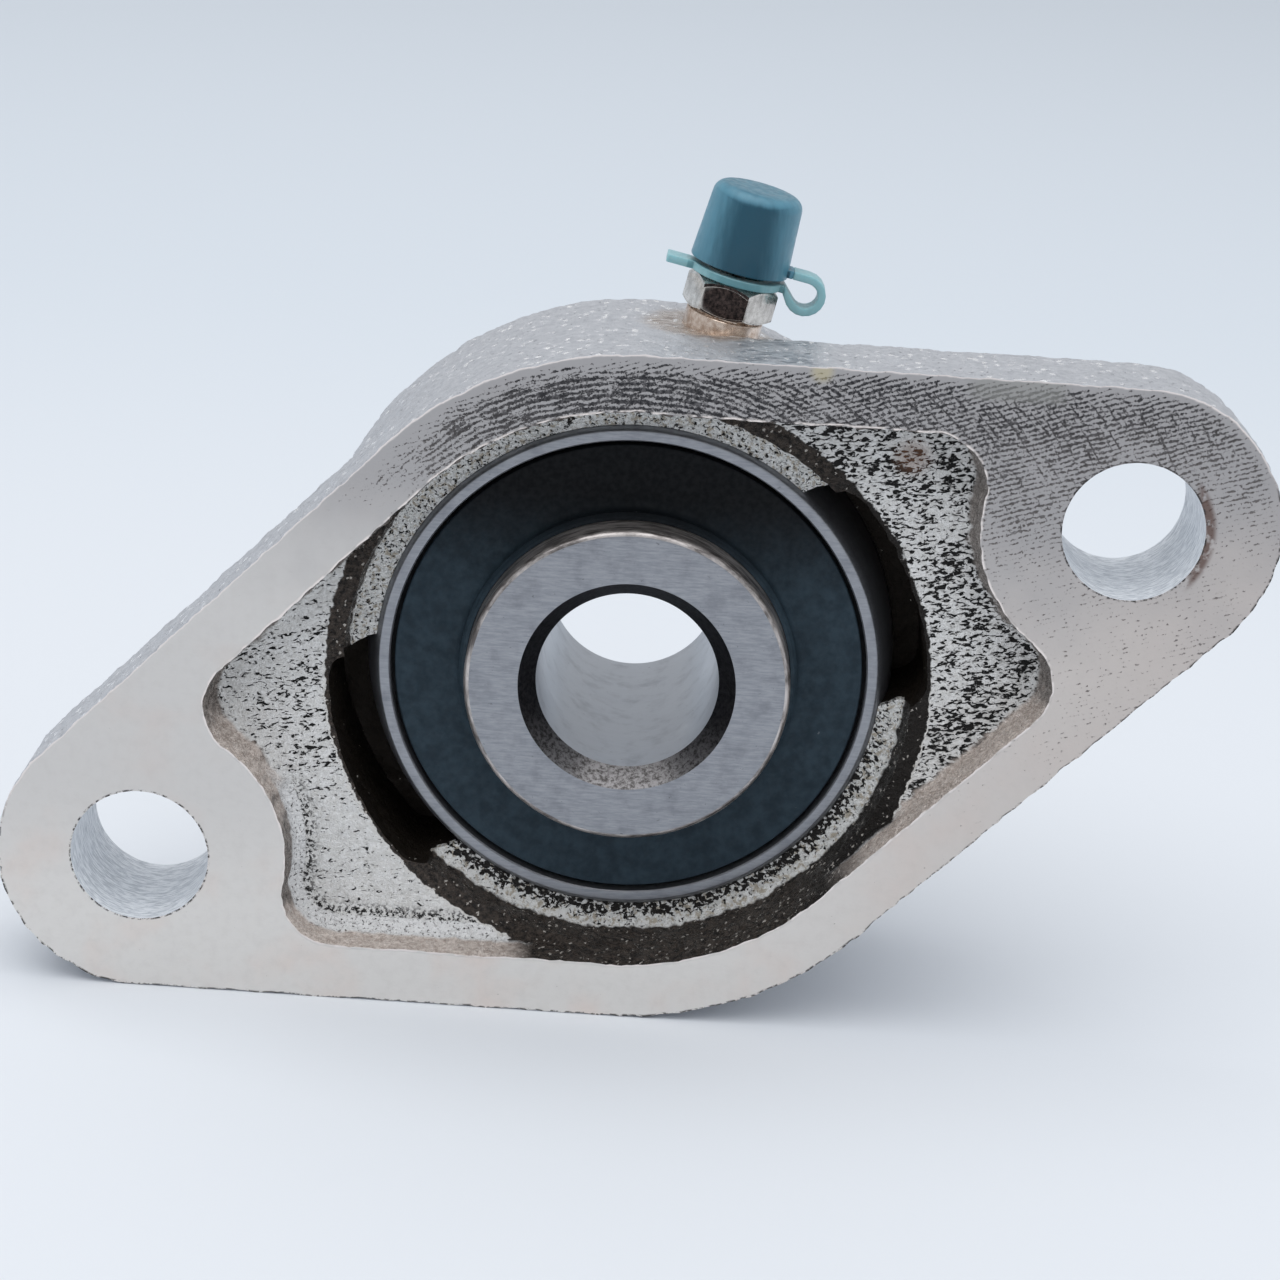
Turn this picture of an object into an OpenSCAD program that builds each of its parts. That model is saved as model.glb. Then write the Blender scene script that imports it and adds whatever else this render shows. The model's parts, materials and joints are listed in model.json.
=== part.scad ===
// Two-bolt flange bearing: a cast flange housing with a spherical seat, a self-aligning
// ball bearing insert with a wide inner ring, and a grease nipple under a plastic cap.
// Millimetres. The bore axis is Y, the mounting face lies at y = 0 and the nose points
// to +Y. The part stands on the straight lower edge of its flange, with +Z up.

/* [Housing] */
// Distance between the two bolt holes
bolt_pitch = 90; // [84:1:98]
// Diameter of a bolt hole
bolt_hole_d = 12; // [9:0.5:13]
// Radius of the flange round a bolt hole
lobe_r = 12.4; // [11.5:0.1:13.5]
// Radius of the hub and of the middle of the flange
hub_r = 30; // [29.4:0.2:33]
// Thickness of the flange at the bolt holes
flange_t = 12; // [10:0.5:13]
// Depth of the housing from the mounting face to the nose
housing_depth = 25.5; // [24.5:0.5:28]
// Distance from the mounting face to the middle of the bearing
seat_y = 15; // [14.6:0.1:15.6]
// Length of the spherical seat along the bore axis
seat_len = 16; // [15:0.5:17]
// Draft of the cast outer sides, in degrees
side_draft = 1.5; // [0.5:0.5:3]
// Rounding of the cast back edges
edge_round = 2.2; // [1:0.1:3]
// Fillet between the hub and the back of the flange
hub_fillet = 3; // [1:0.5:4]

/* [Housing recess] */
// Width of the rim left round the recess in the mounting face
rim_w = 5; // [4.5:0.1:5.4]
// Width of the wall left round a bolt hole, towards the bearing
boss_wall = 6.75; // [5.5:0.25:7.5]
// Corner radius of the four ears of the recess
ear_r = 4.8; // [3.5:0.1:5.5]
// Depth of the ears
ear_depth = 4; // [3:0.25:5]
// Draft of the recess walls, in degrees
recess_draft = 5; // [2:1:8]
// Fillet round the floor of the recess
recess_fillet = 1.2; // [0.6:0.1:1.6]
// Depth from the mounting face to the ledge round the bearing
ledge_y = 7; // [6.8:0.1:7.4]
// Half of the width of a loading slot
slot_half_w = 10.3; // [9.4:0.1:11]
// Radius that a loading slot reaches
slot_r = 25.9; // [25.2:0.1:26.4]
// Corner radius of a loading slot
slot_corner = 2.5; // [1:0.1:4]

/* [Bearing insert] */
// Bore of the inner ring, five eighths of an inch
bore_d = 15.875; // [12:0.005:17]
// Diameter of the spherical outside of the outer ring
sphere_d = 47; // [46.8:0.1:47.2]
// Width of the outer ring
outer_w = 17; // [16.6:0.1:17.4]
// Diameter of the bore of the outer ring where the flinger sits
counterbore_d = 41.6; // [41.2:0.1:41.8]
// Diameter of the inner shoulders of the outer ring
outer_shoulder_d = 38.8; // [38:0.1:39.4]
// Width of the inner ring
inner_w = 31; // [29:0.5:33]
// Distance from the middle of the bearing to the near face of the inner ring
inner_short = 12.7; // [12:0.1:13.4]
// Outside diameter of the inner ring
inner_d = 28.2; // [27.6:0.1:28.6]
// Radial size of the chamfer at each end of the bore
bore_chamfer_r = 1.45; // [0.5:0.05:2]
// Length of the chamfer at each end of the bore
bore_chamfer_l = 2; // [0.5:0.1:3]
// Rounding of the outer edges of the inner ring
ring_round = 0.45; // [0.2:0.05:0.8]
// Number of balls
ball_n = 8; // [6:1:8]
// Diameter of a ball, five sixteenths of an inch
ball_d = 7.938; // [7.5:0.001:8]
// Diameter of the circle through the ball centres
pitch_d = 33.5; // [33.2:0.1:33.8]
// Distance from the middle of the outer ring to its lubrication groove
oil_groove_y = 4.2; // [4:0.1:4.4]
// Width of the lubrication groove
oil_groove_w = 3; // [2.4:0.1:3]
// Depth of the lubrication groove
oil_groove_depth = 0.7; // [0.5:0.1:0.9]
// Diameter of a lubrication hole in the outer ring
oil_hole_d = 1.5; // [1:0.1:1.5]

/* [Cage] */
// Radial width of the cage
cage_w = 2.7; // [2:0.1:3]
// Thickness of the cage strip
cage_t = 0.5; // [0.3:0.05:0.7]
// Play of a ball in its cage pocket
cage_play = 0.15; // [0.1:0.01:0.2]
// Diameter of a cage rivet
rivet_d = 1; // [0.7:0.1:1.2]
// Diameter of a rivet head
rivet_head_d = 1.8; // [1.4:0.1:2]

/* [Seals and flingers] */
// Distance from the face of the outer ring down to the inner side of a seal
seal_sink = 2.9; // [2.7:0.1:3.1]
// Thickness of a seal
seal_t = 1.2; // [1:0.05:1.3]
// Depth of the groove that holds the rim of a seal
seal_groove = 0.35; // [0.2:0.05:0.5]
// Thickness of the steel core of a seal
seal_core_t = 0.5; // [0.3:0.05:0.6]
// Distance from the face of the outer ring down to the inner side of a flinger
flinger_sink = 1.35; // [1.2:0.05:1.4]
// Thickness of the steel of a flinger
flinger_t = 0.5; // [0.3:0.05:0.6]
// Thickness of the rubber on a flinger
flinger_rubber = 0.4; // [0.3:0.05:0.5]
// Open gap between the flinger and the outer ring
flinger_gap = 0.5; // [0.35:0.05:0.7]
// Length of the collar that holds a flinger on the inner ring
collar_len = 1.6; // [1.2:0.1:2.2]

/* [Set screws] */
// Diameter of a set screw
screw_d = 6; // [5:0.5:6]
// Length of a set screw
screw_len = 5.4; // [4.5:0.1:5.6]
// Distance from the far face of the inner ring to a set screw
screw_from_face = 4.8; // [4.2:0.1:5.4]
// Width across the flats of the socket of a set screw
screw_socket = 3; // [2.5:0.5:3]
// Depth of the socket of a set screw
screw_socket_depth = 2.4; // [1.5:0.1:2.8]

/* [Grease nipple] */
// Angle of the nipple from the line through the bolt holes, in degrees
nipple_angle = 55.2; // [45:0.1:65]
// Diameter of the thread of the nipple
thread_d = 6; // [5:0.5:6]
// Distance from the hub's outer circle out to the underside of the hexagon
hex_stand = 1.3; // [1.1:0.1:1.8]
// Height of the hexagon
hex_h = 3; // [2.5:0.1:3.5]
// Width of the hexagon across its flats
hex_af = 7; // [6.5:0.5:7]
// Turn of the hexagon on its thread, in degrees
hex_turn = 40; // [0:5:55]
// Length of the thread under the hexagon
thread_len = 5.6; // [5:0.1:5.8]
// Diameter of the neck above the hexagon
neck_d = 4.8; // [4.4:0.1:5]
// Height of the neck
neck_h = 1.3; // [1.2:0.1:1.6]
// Diameter of the head
head_d = 6.5; // [6:0.1:6.5]
// Height of the head
head_h = 5.2; // [4.8:0.1:5.4]
// Diameter of the mouth at the tip of the head
mouth_d = 1.5; // [1.2:0.1:1.6]
// Diameter of the check ball in the nipple
check_ball_d = 2.5; // [2.3:0.1:2.6]
// Diameter of the spring wire
spring_wire = 0.3; // [0.25:0.05:0.35]
// Number of turns of the spring
spring_turns = 7; // [5:1:9]

/* [Nipple cap] */
// Distance from the underside of the hexagon up to the open end of the cap
cap_lift = 4.2; // [4.1:0.05:4.3]
// Height of the cap
cap_h = 6.9; // [6.7:0.1:7.4]
// Diameter of the cap at its open end
cap_d = 8.6; // [8.5:0.1:9]
// Diameter of the cap at its closed end
cap_top_d = 7.9; // [7.8:0.1:8.4]
// Rounding of the closed end of the cap
cap_round = 0.9; // [0.5:0.1:1.2]
// Diameter of the hollow of the cap
cap_hollow_d = 7.2; // [7.1:0.05:7.3]
// Thickness of the flat neck ring and of the strap
strap_t = 0.7; // [0.5:0.05:0.8]
// Width of the strap
strap_w = 2.2; // [1.8:0.1:3]
// Outside diameter of the neck ring
neck_ring_d = 8; // [7.6:0.1:8.2]
// Length of the pull tab from the middle of the neck ring
tab_reach = 6.2; // [5.6:0.1:7]
// Radius of the bend of the strap, at its middle line
strap_bend = 1.45; // [1.2:0.05:1.5]
// Distance from the middle of the nipple to the outside of the strap's bend
strap_reach = 7.95; // [7.8:0.05:8.5]
// Height of the strap's lug above the open end of the cap
strap_rise = 0.25; // [0:0.05:0.5]

/* [Clearances] */
// Radial clearance between the outer ring and its seat
seat_clear = 0.05; // [0.02:0.01:0.08]
// Clearance between a ball and its raceways
race_clear = 0.05; // [0.02:0.01:0.08]
// Clearance between a seal lip and the inner ring
lip_clear = 0.05; // [0.02:0.01:0.08]
// Radial clearance of parts that are pressed or screwed in
seated_clear = 0.03; // [0.01:0.01:0.05]
// Open gap between loose parts
loose_gap = 0.3; // [0.3:0.05:0.4]

/* [Hidden] */
$fn = 96;
overcut = 1;
// Sides that would only touch a round part cut into it by this much
edge_relief = 0.05;
round_steps = 4;

// The straight edges of the flange are tangents of the hub circle and of the lobes
edge_angle = asin((hub_r - lobe_r) / (bolt_pitch / 2));
// The part stands on one straight edge, so that edge is level
stance = edge_angle;
bolt_u = bolt_pitch / 2;
boss_rim_r = bolt_hole_d / 2 + boss_wall;

// Draft takes this much off a side between the mounting face and a depth
function draft_at(depth, draft) = depth * tan(draft);
hub_back_r = hub_r - draft_at(flange_t, side_draft);

// Middle of an ear's corner circle, tangent to the rim and to the wall round the bolt hole
ear_off = hub_r - rim_w - ear_r;
ear_reach = boss_rim_r + ear_r;
ear_turn = 180 - asin((ear_off - bolt_u * sin(edge_angle)) / ear_reach) - edge_angle;
ear_u = bolt_u + ear_reach * cos(ear_turn);
ear_w = ear_reach * sin(ear_turn);

seat_r = sphere_d / 2 + seat_clear;
seat_front_y = seat_y + seat_len / 2;
mouth_r = sqrt(seat_r * seat_r - (seat_len / 2) * (seat_len / 2));
slot_centre_w = slot_half_w - slot_corner;
slot_centre_r = slot_r - slot_corner;
slot_centre_u = sqrt(slot_centre_r * slot_centre_r - slot_centre_w * slot_centre_w);
slot_centre_angle = asin(slot_centre_w / slot_centre_r);

ball_r = ball_d / 2;
pitch_r = pitch_d / 2;
race_r = ball_r + race_clear;
inner_r = inner_d / 2;
bore_r = bore_d / 2;
near_y = seat_y - inner_short;
far_y = near_y + inner_w;
screw_y = far_y - screw_from_face;
screw_angles = [30, 150];
// A thread is drawn as its mean cylinder
thread_share = 0.9;
screw_r = screw_d / 2 * thread_share;
screw_sink = 0.25;
screw_top_r = inner_r - screw_sink;
shell_r = ball_r + cage_play + cage_t;
function ball_angle(i) = 360 / ball_n * (i - 0.5);
cage_in_r = pitch_r - cage_w / 2;
cage_out_r = pitch_r + cage_w / 2;
rivet_grip = 2 * cage_t;
rivet_head_h = 0.4;
rivet_head_taper = 0.6;
rivet_top_d = rivet_head_taper * rivet_head_d;

counterbore_r = counterbore_d / 2;
seal_from = outer_w / 2 - seal_sink;
flinger_from = outer_w / 2 - flinger_sink;
seal_to = seal_from + seal_t;
seal_rim_r = counterbore_r + seal_groove;
flinger_rim_r = counterbore_r - flinger_gap;
press_gap = 0.01;
flinger_in_r = inner_r + press_gap;
flinger_fillet = 0.4;
flinger_bevel = 0.15;
seal_lip_w = 1.3;
seal_bead_w = 0.4;
seal_core_in_r = inner_r + seal_lip_w;
seal_core_out_r = counterbore_r - seal_bead_w;
ring_edge = 0.25;

hex_from = hub_r + hex_stand;
neck_from = hex_from + hex_h;
cap_from = hex_from + cap_lift;
head_from = neck_from + neck_h;
head_top = head_from + head_h;
// Heights on the head, from its underside: end of its flare, band, taper and nose
head_flare = 0.9;
head_band = 1.6;
head_taper = 2.9;
head_nose = 3.4;
chamber_play = 0.2;
chamber_r = check_ball_d / 2 + chamber_play;
nipple_foot = hex_from - thread_len;
spring_seat_h = 0.6;
spring_seat = nipple_foot + spring_seat_h;
spring_step = 0.35;
mouth_h = 0.6;
mouth_cone_top = head_top - mouth_h;
mouth_cone_h = 0.9;
mouth_cone_from = mouth_cone_top - mouth_cone_h;
mouth_slope = atan2(chamber_r - mouth_d / 2, mouth_cone_h);
touch_gap = 0.02;
check_ball_at = mouth_cone_from
    - (check_ball_d / 2 + touch_gap - chamber_r * cos(mouth_slope)) / sin(mouth_slope);
spring_top = check_ball_at - check_ball_d / 2 - touch_gap;
spring_play = 0.08;
spring_r = chamber_r - spring_wire / 2 - spring_play;
neck_ring_gap = 0.05;
neck_ring_from = neck_from + neck_ring_gap;
neck_ring_r = neck_ring_d / 2;
ring_web = 0.2;
ring_join = neck_ring_r + ring_web;
lug_from = cap_from + strap_rise;
cap_web = 0.4;
cap_join = cap_d / 2 + cap_web;
cap_top_t = 0.85;

iron = [0.74, 0.73, 0.71];
steel = [0.62, 0.64, 0.68];
ball_steel = [0.8, 0.81, 0.83];
cage_steel = [0.66, 0.62, 0.5];
rubber = [0.13, 0.17, 0.2];
plated = [0.78, 0.76, 0.7];
teal = [0.2, 0.42, 0.48];

// Plan drawings lie in X and Y with their depth along Z. This stands them up, so that
// the plan's Y becomes up and its depth runs along the bore axis.
module stand(turn = 0) {
    rotate([90, 0, 0]) mirror([0, 0, 1]) rotate([0, 0, turn]) children();
}

// Points of a quarter turn about a centre, from one angle to another
function bend(centre, r, from, to) = [
    for (i = [0:round_steps])
        let (a = from + (to - from) * i / round_steps)
            centre + r * [cos(a), sin(a)]];

// The drawing of a cast side: drafted from the mounting face, rounded at the back
module side_drawing(r, h, draft, round_r, from = 0) {
    drawn_in = draft_at(h - round_r, draft);
    centre = [r - drawn_in - round_r, h - round_r];
    polygon(concat([[from, h], [from, 0], [r, 0]], bend(centre, round_r, 0, 90)));
}

// Points along a wide turn, such as a loop
function turn_points(centre, r, from, to) = [
    for (i = [0:3 * round_steps])
        let (a = from + (to - from) * i / (3 * round_steps))
            centre + r * [cos(a), sin(a)]];

module both_ends() {
    for (end = [0, 1]) mirror([end, 0, 0]) children();
}

module both_sides() {
    for (side = [0, 1]) mirror([0, side, 0]) children();
}

// A slab whose side is parallel to one straight edge of the flange
module edge_slab(r, h, draft, round_r) {
    rotate([0, 0, 90 - edge_angle])
        rotate([90, 0, 0])
            linear_extrude(2 * bolt_pitch, center = true)
                side_drawing(r, h, draft, round_r, -2 * hub_r);
}

// The web between the hub and one lobe, inside both of its straight edges
module web() {
    side = [sin(edge_angle), cos(edge_angle)];
    out = [hub_r * side.x, hub_r * side.y + overcut];
    end = [bolt_u + lobe_r * side.x, lobe_r * side.y + overcut];
    inset = 2;
    slab_r = hub_r - edge_relief;
    intersection() {
        linear_extrude(flange_t)
            polygon([[0, 0], out, end, [bolt_u - inset, 0], [end.x, -end.y], [out.x, -out.y]]);
        edge_slab(slab_r, flange_t, side_draft, edge_round);
        mirror([0, 1, 0]) edge_slab(slab_r, flange_t, side_draft, edge_round);
    }
}

// The fillet where the hub rises from the back of the flange, kept inside the flange
module hub_foot() {
    at = [hub_back_r - draft_at(hub_fillet, side_draft), flange_t];
    corner = at + [hub_fillet, hub_fillet];
    intersection() {
        rotate_extrude()
            polygon(concat([at - [overcut, overcut], at + [hub_fillet, -overcut]],
                bend(corner, hub_fillet, 270, 180), [at + [-overcut, hub_fillet]]));
        linear_extrude(flange_t + hub_fillet)
            polygon([[bolt_u, 0], [0, hub_r - rim_w], [-bolt_u, 0], [0, rim_w - hub_r]]);
    }
}

module housing_blank() {
    rotate_extrude() side_drawing(hub_r, housing_depth, side_draft, edge_round);
    both_ends() {
        translate([bolt_u, 0, 0])
            rotate_extrude() side_drawing(lobe_r, flange_t, side_draft, edge_round);
        web();
    }
    hub_foot();
}

// One ear of the recess, with its drafted walls and its filleted floor
module ear() {
    slab_r = hub_r - rim_w;
    side = [sin(edge_angle), cos(edge_angle)];
    rim = [ear_u, ear_w] + ear_r * side;
    wall = [ear_u - ear_r * cos(ear_turn), ear_w - ear_r * sin(ear_turn)];
    translate([ear_u, ear_w, 0])
        rotate_extrude() side_drawing(ear_r, ear_depth, recess_draft, recess_fillet);
    intersection() {
        linear_extrude(ear_depth)
            polygon([[0, 0], slab_r * side, rim, [ear_u, ear_w], wall, [bolt_u, 0]]);
        edge_slab(slab_r - edge_relief, ear_depth, recess_draft, recess_fillet - edge_relief);
    }
}

// What stays standing round a bolt hole, flared where it meets the recess floor
module boss_wall_flare() {
    foot = ear_depth - recess_fillet;
    rim_r = boss_rim_r + edge_relief;
    drawn_out = rim_r + draft_at(foot, recess_draft);
    translate([bolt_u, 0, 0]) rotate_extrude()
        polygon(concat(
            [[0, ear_depth + overcut], [0, -overcut], [rim_r, -overcut], [rim_r, 0]],
            bend([drawn_out + recess_fillet, foot], recess_fillet, 180, 90),
            [[drawn_out + recess_fillet, ear_depth + overcut]]));
}

// The four ears and the round well down to the ledge
module recess() {
    difference() {
        both_ends() both_sides() ear();
        both_ends() boss_wall_flare();
    }
    rotate_extrude() side_drawing(hub_r - rim_w, ledge_y, recess_draft, recess_fillet);
}

// The two slots through which the insert is put in edge on, then turned into its seat
module loading_slots() {
    corner = 1.4 * slot_r * [cos(slot_centre_angle), sin(slot_centre_angle)];
    from = ear_depth / 2;
    translate([0, 0, from]) linear_extrude(seat_y - from) {
        square([2 * slot_centre_u, 2 * slot_half_w], center = true);
        intersection() {
            circle(slot_r);
            both_ends() polygon([[0, 0], corner, [corner.x, -corner.y]]);
        }
        both_ends() both_sides()
            translate([slot_centre_u, slot_centre_w]) circle(slot_corner);
    }
}

// The spherical seat, open to the ledge and to the chamfered mouth in the nose
module seat() {
    lap = 0.5;
    chamfer = 1;
    intersection() {
        translate([0, 0, seat_y]) sphere(seat_r);
        translate([0, 0, ledge_y - overcut])
            cylinder(r = hub_r, h = seat_front_y - ledge_y + overcut + lap);
    }
    rotate_extrude() polygon([
        [0, seat_front_y - lap / 2], [mouth_r, seat_front_y - lap / 2],
        [mouth_r, housing_depth - chamfer], [mouth_r + chamfer + overcut, housing_depth + overcut],
        [0, housing_depth + overcut]]);
}

// Turns a drawing about Z into one about the nipple's axis, with Z as the distance
// from the bore axis, -X towards the nose and -Y to the right of the nipple
module on_nipple_axis() {
    rotate([0, 0, nipple_angle]) translate([0, 0, seat_y]) rotate([0, 90, 0]) children();
}

module housing() {
    color(iron) stand(stance) difference() {
        housing_blank();
        both_ends() translate([bolt_u, 0, -overcut])
            cylinder(d = bolt_hole_d, h = flange_t + 2 * overcut);
        recess();
        loading_slots();
        seat();
        on_nipple_axis() cylinder(d = thread_d + 2 * seated_clear, h = hub_r + overcut);
    }
}

// Copies of what is drawn round the bearing's middle, one at each ball
module at_balls(shift = 0) {
    for (i = [1:ball_n]) rotate([0, 0, ball_angle(i) + shift]) translate([pitch_r, 0, 0]) children();
}

// A drawing about the bearing's middle, on the side of the mounting face or of the nose
module bearing_side(front) {
    translate([0, 0, seat_y]) mirror([0, 0, front ? 0 : 1]) children();
}

module outer_ring() {
    half = outer_w / 2;
    edge = ring_edge;
    face_r = sqrt(sphere_d * sphere_d / 4 - half * half) - edge;
    color(steel) stand() translate([0, 0, seat_y]) difference() {
        rotate_extrude() difference() {
            intersection() {
                circle(d = sphere_d);
                translate([outer_shoulder_d / 2, -half]) square([sphere_d, outer_w]);
            }
            for (side = [-1, 1]) {
                translate([0, side * (half + seal_from) / 2])
                    square([counterbore_d, half - seal_from], center = true);
                translate([0, side * (seal_from + seal_to) / 2])
                    square([2 * seal_rim_r + 2 * seated_clear, seal_t + 2 * seated_clear],
                        center = true);
                polygon([
                    [counterbore_r - edge, side * (half + edge)],
                    [counterbore_r + 2 * edge, side * (half + edge)],
                    [counterbore_r - edge, side * (half - 2 * edge)]]);
                polygon([
                    [face_r, side * half], [face_r + overcut, side * (half - overcut)],
                    [face_r + overcut, side * (half + overcut)],
                    [face_r, side * (half + overcut)]]);
            }
            translate([pitch_r, 0]) circle(race_r);
            translate([sphere_d / 2, oil_groove_y])
                square([2 * oil_groove_depth, oil_groove_w], center = true);
        }
        for (turn = [nipple_angle, nipple_angle + 120])
            rotate([0, 0, turn]) translate([outer_shoulder_d / 2 - overcut, 0, oil_groove_y])
                rotate([0, 90, 0]) cylinder(d = oil_hole_d, h = sphere_d / 2);
    }
}

module inner_ring() {
    color(steel) stand() difference() {
        rotate_extrude() difference() {
            polygon(concat(
                [[bore_r, near_y + bore_chamfer_l], [bore_r + bore_chamfer_r, near_y]],
                bend([inner_r - ring_round, near_y + ring_round], ring_round, 270, 360),
                bend([inner_r - ring_round, far_y - ring_round], ring_round, 0, 90),
                [[bore_r + bore_chamfer_r, far_y], [bore_r, far_y - bore_chamfer_l]]));
            translate([pitch_r, seat_y]) circle(race_r);
        }
        for (turn = screw_angles)
            rotate([0, 0, turn]) translate([0, 0, screw_y])
                rotate([0, 90, 0]) cylinder(r = screw_r + seated_clear, h = inner_r + overcut);
    }
}

module ball(i) {
    if (i <= ball_n) color(ball_steel) stand() rotate([0, 0, ball_angle(i)])
        translate([pitch_r, 0, seat_y]) sphere(ball_r);
}

// Half of the ribbon cage: flat between the balls, cupped over half of each ball
module cage_half(front) {
    color(cage_steel) stand() bearing_side(front) difference() {
        intersection() {
            union() {
                cylinder(r = cage_out_r, h = cage_t);
                at_balls() sphere(shell_r);
            }
            difference() {
                cylinder(r = cage_out_r, h = shell_r + overcut);
                translate([0, 0, -overcut]) cylinder(r = cage_in_r, h = shell_r + 3 * overcut);
            }
        }
        at_balls() sphere(ball_r + cage_play);
        at_balls(180 / ball_n) translate([0, 0, -overcut])
            cylinder(d = rivet_d + 2 * seated_clear, h = cage_t + 2 * overcut);
    }
}

module cage_rivets() {
    color(ball_steel) stand() at_balls(180 / ball_n) translate([0, 0, seat_y]) {
        cylinder(d = rivet_d, h = rivet_grip, center = true);
        for (side = [0, 1]) mirror([0, 0, side])
            translate([0, 0, rivet_grip / 2])
                cylinder(d1 = rivet_head_d, d2 = rivet_top_d, h = rivet_head_h);
    }
}

// Steel washer that stiffens a seal, let into the seal's inner side
module seal_core(front) {
    color(cage_steel) stand() bearing_side(front) translate([0, 0, seal_from])
        rotate_extrude()
            translate([seal_core_in_r, 0]) square([seal_core_out_r - seal_core_in_r, seal_core_t]);
}

// Rubber of a seal, from the groove in the outer ring to a lip on the inner ring
module seal_rubber(front) {
    lip_r = inner_r + lip_clear;
    lip_from = 0.25 * seal_t;
    lip_to = 0.55 * seal_t;
    color(rubber) stand() bearing_side(front) translate([0, 0, seal_from])
        rotate_extrude() difference() {
            polygon([
                [lip_r, lip_from], [lip_r + 2 * lip_from, 0], [seal_rim_r, 0],
                [seal_rim_r, seal_t], [lip_r + 2 * lip_to, seal_t], [lip_r, lip_to]]);
            translate([seal_core_in_r, -overcut])
                square([seal_core_out_r - seal_core_in_r, seal_core_t + overcut]);
        }
}

// Steel slinger disc with the collar that is pressed on the inner ring
module flinger_disc(front) {
    color(steel) stand() bearing_side(front) translate([0, 0, flinger_from])
        rotate_extrude() polygon([
            [flinger_in_r, 0], [flinger_rim_r - flinger_rubber, 0],
            [flinger_rim_r - flinger_rubber, flinger_t], [flinger_in_r + flinger_t, flinger_t],
            [flinger_in_r + flinger_t, collar_len], [flinger_in_r, collar_len]]);
}

// Rubber bonded to the outside of a slinger disc, over its rim and its collar
module flinger_cover(front) {
    collar_r = flinger_in_r + flinger_t;
    top = flinger_t + flinger_rubber;
    color(rubber) stand() bearing_side(front) translate([0, 0, flinger_from])
        rotate_extrude() polygon(concat(
            [[collar_r, flinger_t], [flinger_rim_r - flinger_rubber, flinger_t],
             [flinger_rim_r - flinger_rubber, 0], [flinger_rim_r, 0]],
            bend([flinger_rim_r - flinger_rubber, flinger_t], flinger_rubber, 0, 90),
            bend([collar_r + flinger_rubber + flinger_fillet, top + flinger_fillet],
                flinger_fillet, 270, 180),
            [[collar_r + flinger_rubber, collar_len - flinger_bevel], [collar_r, collar_len]]));
}

// Hexagon socket set screw with a cup point, its axis along Z and its point down
module set_screw(turn) {
    foot = screw_top_r - screw_len;
    point_h = 0.9;
    cup_h = 0.8;
    color(steel) stand() rotate([0, 0, turn]) translate([0, 0, screw_y]) rotate([0, 90, 0])
        difference() {
            rotate_extrude() polygon([
                [0, foot + cup_h], [screw_r - point_h, foot], [screw_r, foot + point_h],
                [screw_r, screw_top_r], [0, screw_top_r]]);
            translate([0, 0, screw_top_r - screw_socket_depth])
                cylinder(d = screw_socket / cos(30), h = screw_socket_depth + overcut, $fn = 6);
        }
}

// Hexagon with a small chamfer under it and a large one on top
module hexagon() {
    flat_r = hex_af / 2;
    corner_r = flat_r / cos(30);
    under = 0.3;
    above = 0.5;
    intersection() {
        translate([0, 0, hex_from]) rotate([0, 0, hex_turn])
            cylinder(r = corner_r, h = hex_h, $fn = 6);
        rotate_extrude() polygon([
            [0, hex_from], [flat_r, hex_from], [corner_r, hex_from + under],
            [corner_r, neck_from - above], [flat_r - above / 3, neck_from], [0, neck_from]]);
    }
}

// Hexagon nipple: thread, hexagon, neck, tapered head, and the chamber of its check ball
module grease_nipple() {
    head_r = head_d / 2;
    tip_r = head_r / 2;
    bevel = 0.5;
    lap = 0.1;
    color(plated) stand(stance) on_nipple_axis() difference() {
        union() {
            rotate_extrude() polygon([
                [0, nipple_foot], [thread_d / 2 - bevel, nipple_foot],
                [thread_d / 2, nipple_foot + bevel], [thread_d / 2, hex_from + lap],
                [0, hex_from + lap]]);
            hexagon();
            rotate_extrude() polygon([
                [0, neck_from - lap], [neck_d / 2, neck_from - lap], [neck_d / 2, head_from],
                [head_r, head_from + head_flare], [head_r, head_from + head_band],
                [1.2 * tip_r, head_from + head_taper], [tip_r, head_from + head_nose],
                [tip_r, head_top - bevel], [tip_r - bevel, head_top], [0, head_top]]);
        }
        translate([0, 0, nipple_foot - overcut])
            cylinder(r = chamber_r - spring_step, h = 2 * overcut);
        translate([0, 0, spring_seat]) cylinder(r = chamber_r, h = mouth_cone_from - spring_seat);
        translate([0, 0, mouth_cone_from])
            cylinder(r1 = chamber_r, r2 = mouth_d / 2, h = mouth_cone_h);
        translate([0, 0, mouth_cone_top - lap]) cylinder(d = mouth_d, h = 2 * overcut);
    }
}

module nipple_ball() {
    color(ball_steel) stand(stance) on_nipple_axis()
        translate([0, 0, check_ball_at]) sphere(d = check_ball_d);
}

// A wire bent round a helix, as rings of points joined into one closed skin
module coil(r, wire_r, h, turns, sides = 6, steps = 14) {
    n = turns * steps;
    rings = [for (i = [0:n]) for (k = [0:sides - 1])
        let (a = 360 * i / steps, b = 360 * k / sides, out = r + wire_r * cos(b))
            [out * cos(a), out * sin(a), wire_r + (h - 2 * wire_r) * i / n + wire_r * sin(b)]];
    skin = [for (i = [0:n - 1]) for (k = [0:sides - 1])
        let (p = i * sides + k, q = i * sides + (k + 1) % sides)
            each [[p, p + sides, q], [q, p + sides, q + sides]]];
    near = [for (k = [0:sides - 1]) k];
    far = [for (k = [0:sides - 1]) n * sides + sides - 1 - k];
    polyhedron(points = rings, faces = concat(skin, [near, far]));
}

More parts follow.
